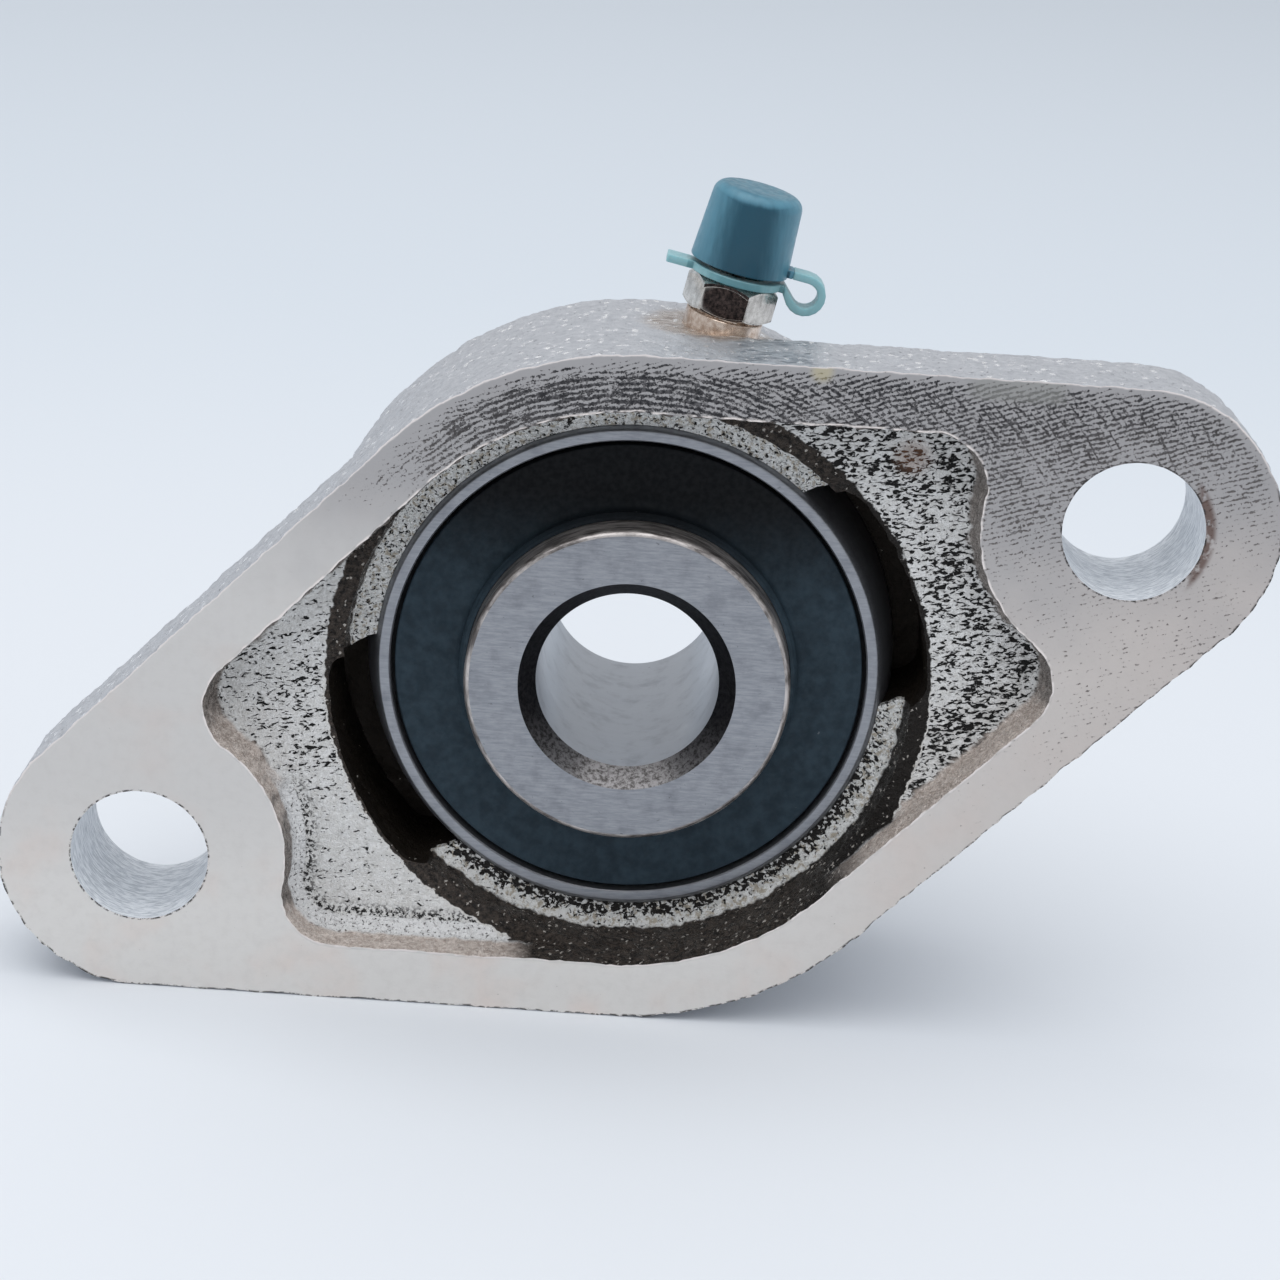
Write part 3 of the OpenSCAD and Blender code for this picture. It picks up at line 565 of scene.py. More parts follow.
def groundFaceMaterial():
    material, tree, shader, place = newMaterial("groundFace", screen(195, 192, 190), Metallic=0.3,
                                                Roughness=0.45)
    across, up, radius = place.outputs["Across"], place.outputs["Up"], place.outputs["Radius"]
    where = place.outputs["Millimetres"]
    edge, lip = attributeOf(tree, "edgeDistance"), attributeOf(tree, "lipDistance")
    # the skin of the casting shows through at the top and fades out downwards; the top of the face is
    # also painted darker, a painted dark reflection
    wander = timesPlus(tree, noiseOf(tree, where, 0.13, 2), 14, -7)
    sideways = maths(tree, "ABSOLUTE", plus(tree, across, -faceMarks["skinMiddle"]))
    level = plus(tree, timesPlus(tree, sideways, -0.25, up), wander)
    paintedDarkTop = fade(tree, level, -6, 14)
    band = fade(tree, level, -4, 27)
    arcBand = times(tree, band, fade(tree, edge, 0.5, 2.2))
    dentBand = times(tree, band, fade(tree, edge, 0.1, 1.1))
    # arcs of the facing cut round the bore, broken into strokes
    turn = splitXYZ(tree, place.outputs["Around"])[1]
    arcPlace = combineXYZ(tree, times(tree, turn, faceMarks["arcR"]), radius)
    arcs = useGroup(tree, strokeGroup, Vector=arcPlace, Pitch=faceMarks["arcPitch"], Length=2.0)
    rightward = fade(tree, across, 0, 24)
    arcTop = fade(tree, rightward, 0, 1, 0.58, 0.36)
    join(tree, fade(tree, arcBand, 0, 1, -0.15, arcTop), arcs.inputs["Coverage"])
    # rows of short dents left between the grains, most at the right
    tilted = splitXYZ(tree, turned(tree, where, 18))
    rows = combineXYZ(tree, tilted[0], tilted[2])
    dents = useGroup(tree, strokeGroup, Vector=rows, Pitch=faceMarks["dentPitch"], Length=0.55)
    dentTop = fade(tree, rightward, 0, 1, 0.36, 0.5)
    dentFloor = fade(tree, timesPlus(tree, up, 0.6, across), 0, 50, -0.1, 0.16)
    patchy = timesPlus(tree, noiseOf(tree, where, 0.3, 2), 0.4, -0.2)
    dentCover = plus(tree, fade(tree, dentBand, 0, 0.9, dentFloor, dentTop), patchy)
    join(tree, dentCover, dents.inputs["Coverage"])
    dark = maths(tree, "MAXIMUM", dents.outputs["Mask"], arcs.outputs["Mask"])
    warm = fade(tree, noiseOf(tree, where, 0.14, 3), 0.45, 0.75)
    pale = blendColours(tree, warm, screen(223, 220, 216), screen(224, 213, 206))
    pale = blendColours(tree, fade(tree, across, 0, 50), pale, screen(200, 192, 187))
    cloud = fade(tree, noiseOf(tree, where, 0.9, 4, 0.65), 0.4, 0.75, 0.0, 0.18)
    pale = blendColours(tree, cloud, pale, screen(188, 182, 177))
    # painted dark reflection: the top of the face painted darker
    pale = blendColours(tree, times(tree, paintedDarkTop, 0.95), pale, screen(164, 162, 163))
    deep = blendColours(tree, band, screen(128, 121, 117), screen(28, 28, 33))
    shallow = fade(tree, noiseOf(tree, where, 2.4, 4, 0.7), 0.42, 0.68, 0.0, 0.65)
    deep = blendColours(tree, shallow, deep, screen(120, 118, 120))
    # the lower left painted a little darker: painted shade
    paintedLeftShade = times(tree, fade(tree, across, -12, -34, 0.0, 0.4), fade(tree, up, -24, -10))
    pale = blendColours(tree, paintedLeftShade, pale, screen(190, 188, 187))
    colour = blendColours(tree, dark, pale, deep)
    # a yellowish stain near the nipple, and a grey smear on the upper edge at the right
    stain = fade(tree, addDistance(tree, where, faceMarks["stainAt"]), faceMarks["stainR"], 0.4)
    colour = blendColours(tree, times(tree, stain, 0.55), colour, screen(196, 184, 140))
    aside = maths(tree, "ABSOLUTE", plus(tree, across, -faceMarks["smearAcross"]))
    smear = times(tree, fade(tree, aside, faceMarks["smearHalfW"], 3.2),
                  fade(tree, edge, faceMarks["smearInside"], 1.5))
    smear = times(tree, smear, fade(tree, up, faceMarks["smearUp"], 14))
    colour = blendColours(tree, times(tree, smear, 0.6), colour, screen(150, 150, 146))
    # rust right of one bolt hole, and a dark broken burr round both
    boltAcross = housing["boltU"] * math.cos(stance)
    boltUp = housing["boltU"] * math.sin(stance)
    holeRight = addDistance(tree, where, (boltAcross, 0, boltUp))
    holeLeft = addDistance(tree, where, (-boltAcross, 0, -boltUp))
    rust = times(tree, fade(tree, holeRight, faceMarks["rustR"], 6.5),
                 fade(tree, across, faceMarks["rustAcross"], 46.9))
    rust = times(tree, rust, fade(tree, noiseOf(tree, where, 0.9, 3), 0.35, 0.5))
    colour = blendColours(tree, times(tree, rust, 0.85), colour, screen(92, 66, 56))
    rim = fade(tree, maths(tree, "MINIMUM", holeLeft, holeRight), faceMarks["burrR"], 6.08)
    rim = times(tree, rim, fade(tree, noiseOf(tree, where, 2.1, 4, 0.7), 0.46, 0.56))
    colour = blendColours(tree, rim, colour, screen(52, 48, 47))
    # along the top edge and the lip of the recess a bright line is painted, a painted highlight on the
    # burr; along the other edges a dark broken line is painted, painted shade
    topEdge = fade(tree, minus(tree, up, times(tree, across, 0.35)), 2, 8)
    wave = times(tree, noiseOf(tree, where, 0.8, 3), 0.3)
    near = minus(tree, 1.0, fade(tree, edge, 0.05, plus(tree, wave, 0.1)))
    broken = fade(tree, noiseOf(tree, where, 1.5, 4, 0.65), 0.45, 0.54)
    shade = times(tree, times(tree, near, broken), minus(tree, 1.0, topEdge))
    colour = blendColours(tree, shade, colour, screen(40, 36, 34))
    lipLine = minus(tree, 1.0, fade(tree, lip, 0.08, 0.26))
    glint = maths(tree, "MAXIMUM", times(tree, near, topEdge),
                  times(tree, lipLine, fade(tree, noiseOf(tree, where, 0.7, 2), 0.4, 0.55)))
    colour = blendColours(tree, glint, colour, screen(238, 230, 226))
    join(tree, colour, shader.inputs["Base Color"])
    join(tree, timesPlus(tree, dark, 0.2, 0.4), shader.inputs["Roughness"])
    fine = noiseOf(tree, turned(tree, where, 20, (0.35, 1, 1)), 3.2, 3)
    height = minus(tree, times(tree, fine, 0.25), dark)
    height = plus(tree, height, times(tree, lipLine, 0.8))
    bump(tree, shader, height, 0.07, 0.8)
    return material


# round the nipple: the spot face's radius and the band beside it with a painted dark reflection, in
# millimetres
spotFace = {"fromHeight": 15, "innerR": 5.2, "outerR": 7.6, "reflectionFrom": 6.2, "reflectionTo": 14.8,
            "reflectionEdge": 2.0, "reflectionDeep": 12}


def castSideMaterial():
    material, tree, shader, place = newMaterial("castSide", screen(186, 187, 192), Metallic=0.65,
                                                Roughness=0.42)
    where = place.outputs["Millimetres"]
    mottle = blendColours(tree, noiseOf(tree, where, 1.3, 5, 0.65), screen(164, 167, 173),
                          screen(226, 227, 230))
    pits = useGroup(tree, fleckGroup, Vector=where, Stretch=0.8, Grain=2.6, Coverage=0.2, Softness=0.03)
    colour = blendColours(tree, times(tree, pits.outputs["Mask"], 0.6), mottle, screen(104, 106, 112))
    # round the nipple the casting is spot faced: brownish bright metal, then a band of dark streaks, a
    # painted reflection
    onNipple = useGroup(tree, nipplePlaceGroup)
    upper = fade(tree, onNipple.outputs["Height"], spotFace["fromHeight"], 20)
    ragged = timesPlus(tree, noiseOf(tree, where, 0.8, 3), 1.6, -0.8)
    fromAxis = plus(tree, onNipple.outputs["From Axis"], ragged)
    streaks = noiseOf(tree, turned(tree, where, 10, (0.35, 2.0, 1.0)), 1.3, 4, 0.7)
    streaks = fade(tree, streaks, 0.35, 0.65)
    across, deep = place.outputs["Across"], place.outputs["Along Bore"]
    start, end, soft = spotFace["reflectionFrom"], spotFace["reflectionTo"], spotFace["reflectionEdge"]
    paintedReflection = times(tree, fade(tree, across, start, start + soft), fade(tree, across, end, end - soft))
    paintedReflection = times(tree, times(tree, paintedReflection, fade(tree, deep, spotFace["reflectionDeep"], 9)), upper)
    paintedReflectionTone = blendColours(tree, streaks, screen(84, 95, 108), screen(198, 203, 208))
    paintedReflection = times(tree, paintedReflection, fade(tree, noiseOf(tree, where, 0.45, 3), 0.34, 0.52, 0.2, 0.85))
    colour = blendColours(tree, paintedReflection, colour, paintedReflectionTone)
    spot = times(tree, fade(tree, fromAxis, spotFace["outerR"], spotFace["innerR"], 0.0, 0.85), upper)
    spotTone = blendColours(tree, streaks, screen(148, 131, 118), screen(224, 213, 202))
    colour = blendColours(tree, spot, colour, spotTone)
    # painted glints: white dots painted on, more on the surfaces that face up, where the light falls;
    # they are also less rough
    facing = facingOf(tree)
    share = fade(tree, facing[2], 0.1, 0.8, 0.04, 0.19)
    paintedGlints = useGroup(tree, glintAndDustGroup, Vector=where, Spacing=1.8, Size=0.42, Share=share)
    colour = blendColours(tree, paintedGlints.outputs["Mask"], colour, (1.0, 1.0, 1.0))
    join(tree, colour, shader.inputs["Base Color"])
    rough = fade(tree, maths(tree, "MAXIMUM", paintedGlints.outputs["Mask"], spot), 0.0, 1.0, 0.42, 0.15)
    join(tree, rough, shader.inputs["Roughness"])
    sand = plus(tree, noiseOf(tree, where, 3.2, 4, 0.7), times(tree, noiseOf(tree, where, 1.2, 2), 0.8))
    sand = minus(tree, sand, pits.outputs["Mask"])
    bump(tree, shader, sand, 0.13, 0.9)
    return material


# places in the recess: heights above the mounting face, distances from the bore axis and the lip
recess = {"tanAt": (22.8, 4, 21.7), "tanR": 2.2, "wallHigh": 3.5, "wallLow": 3.85, "footFrom": 2.3,
          "footTo": 4.22, "shadowStripTo": 4.9, "wellR": 26.35, "wellSoft": 0.2, "wellFrom": 2.4,
          "lineR": 26.32, "lineHalfW": 0.09, "ledgeHigh": 6.3, "ledgeLow": 6.6, "ledgeMiddleR": 24.3}


def recessMaterial():
    material, tree, shader, place = newMaterial("castRecess", screen(212, 211, 209), Metallic=0.3,
                                                Roughness=0.3)
    where, across, up = (place.outputs[n] for n in ("Millimetres", "Across", "Up"))
    deep, radius = place.outputs["Along Bore"], place.outputs["Radius"]
    lip = attributeOf(tree, "lipDistance")
    facing = facingOf(tree)
    rightHalf = fade(tree, plus(tree, across, noiseOf(tree, where, 0.6, 3)), -9, -6)
    bottom = fade(tree, up, -9, -13)
    ragged = timesPlus(tree, noiseOf(tree, where, 1.2, 3), 0.9, -0.45)
    # floor of the ears: shrinkage pits, sunk by the bump and painted black as painted shade in the
    # pits, thick at the right and thin at the lower left
    coverage = fade(tree, across, -30, 22, 0.38, 0.47)
    patchy = timesPlus(tree, noiseOf(tree, where, 0.22, 2), 0.3, -0.15)
    lowLeft = times(tree, fade(tree, up, -8, -17), -0.1)
    pitsAndPaintedShade = useGroup(tree, fleckGroup, Vector=turned(tree, where, 8), Stretch=0.45, Grain=3.6,
                      Softness=0.02)
    join(tree, plus(tree, plus(tree, coverage, patchy), lowLeft), pitsAndPaintedShade.inputs["Coverage"])
    bright = blendColours(tree, fade(tree, noiseOf(tree, where, 2.4, 4, 0.7), 0.35, 0.65),
                          screen(236, 235, 232), (1.0, 1.0, 0.99))
    floorColour = blendColours(tree, pitsAndPaintedShade.outputs["Mask"], bright, screen(14, 13, 13))
    tan = fade(tree, addDistance(tree, where, recess["tanAt"]), recess["tanR"], 0.6)
    floorColour = blendColours(tree, times(tree, tan, 0.45), floorColour, screen(150, 108, 84))
    # drafted walls: brown-grey satin, soft at the foot; where they face up they are painted lighter,
    # painted light from above
    wall = fade(tree, deep, recess["wallLow"], recess["wallHigh"])
    grit = fade(tree, noiseOf(tree, where, 2.0, 5, 0.75), 0.35, 0.65)
    wallTone = blendColours(tree, grit, screen(96, 88, 83), screen(166, 157, 150))
    wallTone = blendColours(tree, fade(tree, across, 10, 24), wallTone,
                            blendColours(tree, grit, screen(122, 115, 110), screen(178, 170, 164)))
    paintedLitLowWall = blendColours(tree, grit, screen(196, 181, 171), screen(246, 234, 225))
    wallTone = blendColours(tree, fade(tree, facing[2], 0.15, 0.55), wallTone, paintedLitLowWall)
    colour = blendColours(tree, wall, floorColour, wallTone)
    # grains painted white where the fillet of the lower left wall meets the floor and faces up, a
    # painted highlight, with a painted shadow strip above
    glitter = fade(tree, noiseOf(tree, where, 3.6, 3, 0.7), 0.36, 0.44)
    highlightGrainTone = blendColours(tree, glitter, screen(70, 66, 64), (1.0, 1.0, 1.0))
    foot = times(tree, fade(tree, lip, recess["footFrom"], 2.9),
                 fade(tree, lip, recess["footTo"], 4.12))
    foot = times(tree, foot, bottom)
    colour = blendColours(tree, foot, colour, highlightGrainTone)
    paintedShadowStrip = times(tree, fade(tree, lip, 4.14, recess["footTo"]),
                  fade(tree, lip, recess["shadowStripTo"], 4.3))
    speckle = fade(tree, noiseOf(tree, where, 3.2, 3, 0.7), 0.52, 0.44)
    paintedShadowStrip = times(tree, times(tree, paintedShadowStrip, bottom), speckle)
    colour = blendColours(tree, paintedShadowStrip, colour, screen(30, 29, 29))
    # the brown wall of the well, widest and darkest below the bore, with white specks painted on as
    # painted glints
    specks = useGroup(tree, glintAndDustGroup, Vector=where, Spacing=3.0, Size=0.3, Share=0.2)
    slope = fade(tree, plus(tree, radius, ragged), recess["wellR"],
                 recess["wellR"] - recess["wellSoft"])
    slope = times(tree, slope, fade(tree, deep, recess["wellFrom"], 3.0))
    underBore = times(tree, rightHalf, fade(tree, up, -12, -17))
    slope = maths(tree, "MAXIMUM", slope, underBore)
    slopeTone = blendColours(tree, grit, screen(22, 19, 17), screen(80, 71, 64))
    slopeTone = blendColours(tree, fade(tree, across, 14, 20), slopeTone, screen(30, 26, 23))
    slopeTone = blendColours(tree, times(tree, specks.outputs["Mask"], 0.85), slopeTone,
                             screen(214, 208, 200))
    ledge = fade(tree, plus(tree, deep, times(tree, ragged, 0.7)), recess["ledgeHigh"],
                 recess["ledgeLow"])
    colour = blendColours(tree, times(tree, slope, minus(tree, 1.0, ledge)), colour, slopeTone)
    # a bright line painted along the lip of the well: a painted highlight
    lipLine = maths(tree, "COMPARE", plus(tree, radius, ragged), recess["lineR"], recess["lineHalfW"])
    lipLine = times(tree, lipLine, times(tree, fade(tree, up, 6, -4), fade(tree, deep, 3.0, 3.6)))
    colour = blendColours(tree, lipLine, colour, screen(246, 244, 240))
    # the ledge at the foot of the well: grains painted bright as painted glints, brightest along the
    # middle of the lower ledge as a painted highlight, between black pits painted as painted shade
    pits = useGroup(tree, fleckGroup, Vector=where, Stretch=0.9, Softness=0.02)
    join(tree, fade(tree, up, 4, -14, 3.6, 2.8), pits.inputs["Grain"])
    offMiddle = maths(tree, "ABSOLUTE", minus(tree, radius, recess["ledgeMiddleR"]))
    lowPits = fade(tree, plus(tree, offMiddle, ragged), 0.2, 1.5, 0.28, 0.58)
    join(tree, fade(tree, up, 2, -14, 0.38, lowPits), pits.inputs["Coverage"])
    golden = fade(tree, noiseOf(tree, where, 1.7, 3, 0.7), 0.5, 0.62)
    ledgeTone = blendColours(tree, times(tree, golden, 0.7), (1.0, 1.0, 0.98), screen(176, 160, 132))
    ledgeTone = blendColours(tree, pits.outputs["Mask"], ledgeTone, screen(30, 27, 25))
    colour = blendColours(tree, ledge, colour, ledgeTone)
    join(tree, colour, shader.inputs["Base Color"])
    join(tree, timesPlus(tree, pitsAndPaintedShade.outputs["Mask"], 0.3, 0.25), shader.inputs["Roughness"])
    sunk = maths(tree, "MAXIMUM", pitsAndPaintedShade.outputs["Mask"], times(tree, ledge, pits.outputs["Mask"]))
    grain = timesPlus(tree, noiseOf(tree, where, 3.4, 4, 0.75), 1.2, times(tree, sunk, -0.6))
    bump(tree, shader, grain, 0.3, 0.9)
    return material


# the slots are painted near black, a painted shadow, with white dots as painted glints
def slotMaterial():
    material, tree, shader, place = newMaterial("slotWall", screen(34, 29, 25), Metallic=0.6,
                                                Roughness=0.45)
    where = place.outputs["Millimetres"]
    tone = blendColours(tree, noiseOf(tree, where, 1.2, 4, 0.7), screen(16, 14, 12), screen(58, 50, 42))
    paintedGlints = useGroup(tree, glintAndDustGroup, Vector=where, Spacing=2.0, Size=0.16, Share=0.1)
    join(tree, blendColours(tree, paintedGlints.outputs["Mask"], tone, screen(220, 216, 205)),
         shader.inputs["Base Color"])
    bump(tree, shader, noiseOf(tree, where, 2.5, 4, 0.7), 0.2, 0.9)
    return material


def drilledMaterial():
    material, tree, shader, place = newMaterial("drilledHole", screen(214, 220, 227), Metallic=0.15,
                                                Roughness=0.45)
    where = place.outputs["Millimetres"]
    lines = noiseOf(tree, turned(tree, where, 0, (0.5, 2.4, 0.5)), 2.0, 4, 0.65)
    tone = blendColours(tree, fade(tree, lines, 0.38, 0.62), screen(198, 203, 209),
                        screen(246, 249, 252))
    join(tree, tone, shader.inputs["Base Color"])
    bump(tree, shader, lines, 0.08, 0.7)
    return material


def machinedSeatMaterial():
    material, tree, shader, place = newMaterial("machinedSeat", screen(120, 120, 122), Metallic=0.9,
                                                Roughness=0.35)
    lines = noiseOf(tree, turned(tree, place.outputs["Around"], 0, (0.2, 0.3, 9.0)), 1.0, 3)
    join(tree, blendColours(tree, lines, screen(96, 96, 98), screen(150, 150, 152)),
         shader.inputs["Base Color"])
    bump(tree, shader, lines, 0.03, 0.5)
    return material


housingMaterials = {"groundFace": groundFaceMaterial(), "castSide": castSideMaterial(),
                    "recess": recessMaterial(), "slot": slotMaterial(),
                    "boltHole": drilledMaterial(), "seat": machinedSeatMaterial()}
makeHousing(housingMaterials)


# ground steel of the ring faces: fine nearly level lines over a cloudy satin
def ringMaterial(name, low, high, rough, lineSize, cloud):
    material, tree, shader, place = newMaterial(name, low, Metallic=0.85)
    where = place.outputs["Millimetres"]
    lines = noiseOf(tree, turned(tree, where, -6, (0.12, 1.0, 1.0)), lineSize, 5, 0.7)
    cloudy = noiseOf(tree, where, 0.5, 4, 0.6)
    tone = blendColours(tree, fade(tree, lines, 0.3, 0.7), low, high)
    tone = blendColours(tree, fade(tree, cloudy, 0.45, 0.75, 0.0, cloud), tone, screen(96, 98, 106))
    specks = useGroup(tree, fleckGroup, Vector=where, Stretch=0.8, Grain=3.2, Coverage=0.05,
                      Softness=0.02)
    tone = blendColours(tree, times(tree, specks.outputs["Mask"], 0.5), tone, screen(74, 74, 80))
    join(tree, tone, shader.inputs["Base Color"])
    join(tree, fade(tree, lines, 0.2, 0.8, rough - 0.07, rough + 0.07), shader.inputs["Roughness"])
    bump(tree, shader, lines, 0.02, 0.3)
    return material


# the outside of the inner ring: brownish polish with dark streaks round it
def ringEdgeMaterial():
    material, tree, shader, place = newMaterial("ringEdge", screen(128, 122, 119), Metallic=0.7,
                                                Roughness=0.32)
    streaks = noiseOf(tree, turned(tree, place.outputs["Around"], 0, (0.6, 5.0, 2.2)), 1.0, 5, 0.65)
    rubbed = fade(tree, streaks, 0.35, 0.65)
    tone = blendColours(tree, rubbed, screen(100, 95, 93), screen(204, 198, 195))
    ground = blendColours(tree, rubbed, screen(150, 149, 149), screen(184, 183, 184))
    tone = blendColours(tree, fade(tree, place.outputs["Along Bore"], 6, 12), tone, ground)
    join(tree, tone, shader.inputs["Base Color"])
    bump(tree, shader, streaks, 0.03, 0.4)
    return material


# the chamfers and roundings: dark, mottled brown lower down
def chamferMaterial():
    material, tree, shader, place = newMaterial("chamferSteel", screen(60, 60, 64), Metallic=0.9,
                                                Roughness=0.3)
    where, up = place.outputs["Millimetres"], place.outputs["Up"]
    mottle = noiseOf(tree, where, 2.6, 6, 0.75)
    tone = blendColours(tree, fade(tree, mottle, 0.3, 0.7), screen(30, 30, 33), screen(66, 64, 66))
    lowTone = blendColours(tree, fade(tree, mottle, 0.38, 0.58), screen(80, 77, 76),
                           screen(150, 148, 149))
    tone = blendColours(tree, fade(tree, up, -2, -9), tone, lowTone)
    join(tree, tone, shader.inputs["Base Color"])
    bump(tree, shader, noiseOf(tree, where, 5.0, 3), 0.02, 0.5)
    return material


def rubberMaterial(name, low, high):
    material, tree, shader, place = newMaterial(name, low, Metallic=0.0, Roughness=0.62)
    where = place.outputs["Millimetres"]
    tone = blendColours(tree, fade(tree, noiseOf(tree, where, 0.7, 5, 0.65), 0.3, 0.7), low, high)
    # the top painted near black: a painted shadow cast by the housing's upper wall
    paintedTopShadow = times(tree, fade(tree, place.outputs["Up"], 6, 16.5), 0.96)
    tone = blendColours(tree, paintedTopShadow, tone, screen(1, 2, 4))
    dust = useGroup(tree, glintAndDustGroup, Vector=where, Spacing=0.7, Size=0.09, Share=0.12)
    join(tree, blendColours(tree, times(tree, dust.outputs["Mask"], 0.5), tone, screen(120, 126, 132)),
         shader.inputs["Base Color"])
    join(tree, fade(tree, noiseOf(tree, where, 2.0, 3), 0.3, 0.7, 0.6, 0.8), shader.inputs["Roughness"])
    shader.inputs["Specular IOR Level"].default_value = 0.22
    bump(tree, shader, noiseOf(tree, where, 3.0, 4, 0.7), 0.04, 0.5)
    return material


def brightMetal(name, low, high, metallic, rough):
    material, tree, shader, place = newMaterial(name, low, Metallic=metallic)
    where = place.outputs["Millimetres"]
    cloudy = noiseOf(tree, where, 1.4, 4, 0.6)
    join(tree, blendColours(tree, fade(tree, cloudy, 0.3, 0.7), low, high), shader.inputs["Base Color"])
    join(tree, fade(tree, noiseOf(tree, where, 3.0, 3), 0.3, 0.7, 0.7 * rough, 1.3 * rough),
         shader.inputs["Roughness"])
    bump(tree, shader, noiseOf(tree, where, 4.0, 3), 0.02, 0.4)
    return material


def plasticMaterial(name, low, high):
    material, tree, shader, place = newMaterial(name, low, Metallic=0.0, Roughness=0.38)
    shader.inputs["Subsurface Weight"].default_value = 0.35
    shader.inputs["Subsurface Radius"].default_value = (0.5, 0.9, 1.0)
    shader.inputs["Subsurface Scale"].default_value = 1.0 * mm
    where = place.outputs["Millimetres"]
    # the steel inside shows dark through the flat front and back; the sides and the top are painted
    # lighter, a painted sheen and painted light from above
    facing = facingOf(tree)
    streaks = noiseOf(tree, turned(tree, where, 12, (1.6, 1.6, 0.25)), 1.0, 3)
    upward = maths(tree, "MAXIMUM", facing[2], 0.0)
    paintedTopAndRimLight = times(tree, upward, minus(tree, 1.0, upward))
    paintedTopAndRimLight = timesPlus(tree, paintedTopAndRimLight, 1.8, times(tree, upward, 0.62))
    thinAndLit = maths(tree, "MAXIMUM", maths(tree, "ABSOLUTE", facing[0]), paintedTopAndRimLight)
    onNipple = useGroup(tree, nipplePlaceGroup)
    clear = fade(tree, onNipple.outputs["From Axis"], 4.34, 4.6)
    thinAndLit = maths(tree, "MAXIMUM", thinAndLit, times(tree, clear, 0.8))
    thinAndLit = plus(tree, thinAndLit, timesPlus(tree, streaks, 0.4, -0.2))
    tone = blendColours(tree, fade(tree, thinAndLit, 0.25, 0.95), low, high)
    join(tree, tone, shader.inputs["Base Color"])
    join(tree, fade(tree, noiseOf(tree, where, 1.6, 4), 0.3, 0.7, 0.3, 0.46),
         shader.inputs["Roughness"])
    bump(tree, shader, noiseOf(tree, where, 2.2, 3), 0.03, 0.4)
    return material


ringSteel = ringMaterial("ringSteel", screen(138, 141, 147), screen(162, 164, 169), 0.36, 5.5, 0.35)
boreSteel = ringMaterial("boreSteel", screen(178, 182, 188), screen(190, 194, 200), 0.36, 0.5, 0.3)
ringEdge = ringEdgeMaterial()
chamferSteel = chamferMaterial()
flingerRubber = rubberMaterial("flingerRubber", screen(34, 47, 56), screen(49, 64, 74))
sealRubber = rubberMaterial("sealRubber", screen(22, 24, 27), screen(34, 36, 40))
ballSteel = brightMetal("ballSteel", screen(196, 198, 202), screen(214, 216, 220), 1.0, 0.1)
cageSteel = brightMetal("cageSteel", screen(150, 144, 130), screen(176, 170, 156), 0.95, 0.32)
blackSteel = brightMetal("blackSteel", screen(38, 38, 42), screen(58, 58, 62), 0.85, 0.38)
springSteel = brightMetal("springSteel", screen(160, 160, 162), screen(184, 184, 186), 1.0, 0.28)
capPlastic = plasticMaterial("capPlastic", screen(8, 72, 92), screen(86, 140, 160))
strapPlastic = plasticMaterial("strapPlastic", screen(96, 146, 154), screen(146, 190, 196))

# the bearing insert's round pieces, drawn as sections and spun
insert = {"outerW": 17.0, "sphereR": 23.5, "counterboreR": 20.8, "ringEdge": 0.32, "sealR": 19.5,
          "counterboreDepth": 2.9, "cornerCut": 0.12, "innerR": 14.1, "boreR": 7.9375,
          "chamferR": 1.45, "chamferL": 1.9, "nearY": 2.3, "farY": 33.3, "innerRound": 0.65,
          "screwY": 28.5, "screwHoleR": 2.73, "screwTurns": (30, 150), "drillL": 10, "drillAtR": 11}


def makeOuterRing():
    half, edge = insert["outerW"] / 2, insert["ringEdge"]
    faceR = math.sqrt(insert["sphereR"] ** 2 - half ** 2)
    depth = half - insert["counterboreDepth"]
    lowAngle = math.degrees(math.asin((half - edge) / insert["sphereR"]))
    outside = rounding((0, 0), insert["sphereR"], -lowAngle, lowAngle, 24)
    top = rounding((faceR - edge, half - edge), edge, 40, 90, 4)
    counterR, cut = insert["counterboreR"], insert["cornerCut"]
    section = outside + top + [(counterR + cut, half), (counterR, half - cut),
                               (counterR, depth), (insert["sealR"], depth)]
    lower = [(r, -y) for r, y in reversed(section[len(outside):])]
    section = [(r, y + middleY) for r, y in section + lower]
    piece = spunPiece("outerRing", section)
    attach(piece, bodyOf("outer_ring"))
    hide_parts("outer_ring")
    return piece


def makeInnerRing():
    rim = insert["innerRound"]
    boreR, outR = insert["boreR"], insert["innerR"]
    near, far = insert["nearY"], insert["farY"]
    section = [(boreR, near + insert["chamferL"]), (boreR + insert["chamferR"], near)]
    section += rounding((outR - rim, near + rim), rim, -90, 0)
    section += rounding((outR - rim, far - rim), rim, 0, 90)
    section += [(boreR + insert["chamferR"], far), (boreR, far - insert["chamferL"])]
    piece = spunPiece("innerRing", section)
    for turn in insert["screwTurns"]:
        t = math.radians(turn)
        deselectAll()
        bpy.ops.mesh.primitive_cylinder_add(
            vertices=64, radius=insert["screwHoleR"] * mm, depth=insert["drillL"] * mm,
            location=(insert["drillAtR"] * mm * math.cos(t), insert["screwY"] * mm,
                      insert["drillAtR"] * mm * math.sin(t)),
            rotation=(0, math.pi / 2 - t, 0))
        drill = bpy.context.object
        modified(piece, "BOOLEAN", operation="DIFFERENCE", object=drill, solver="EXACT")
        bpy.data.objects.remove(drill)
    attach(piece, bodyOf("inner_ring"))
    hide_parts("inner_ring")
    return piece


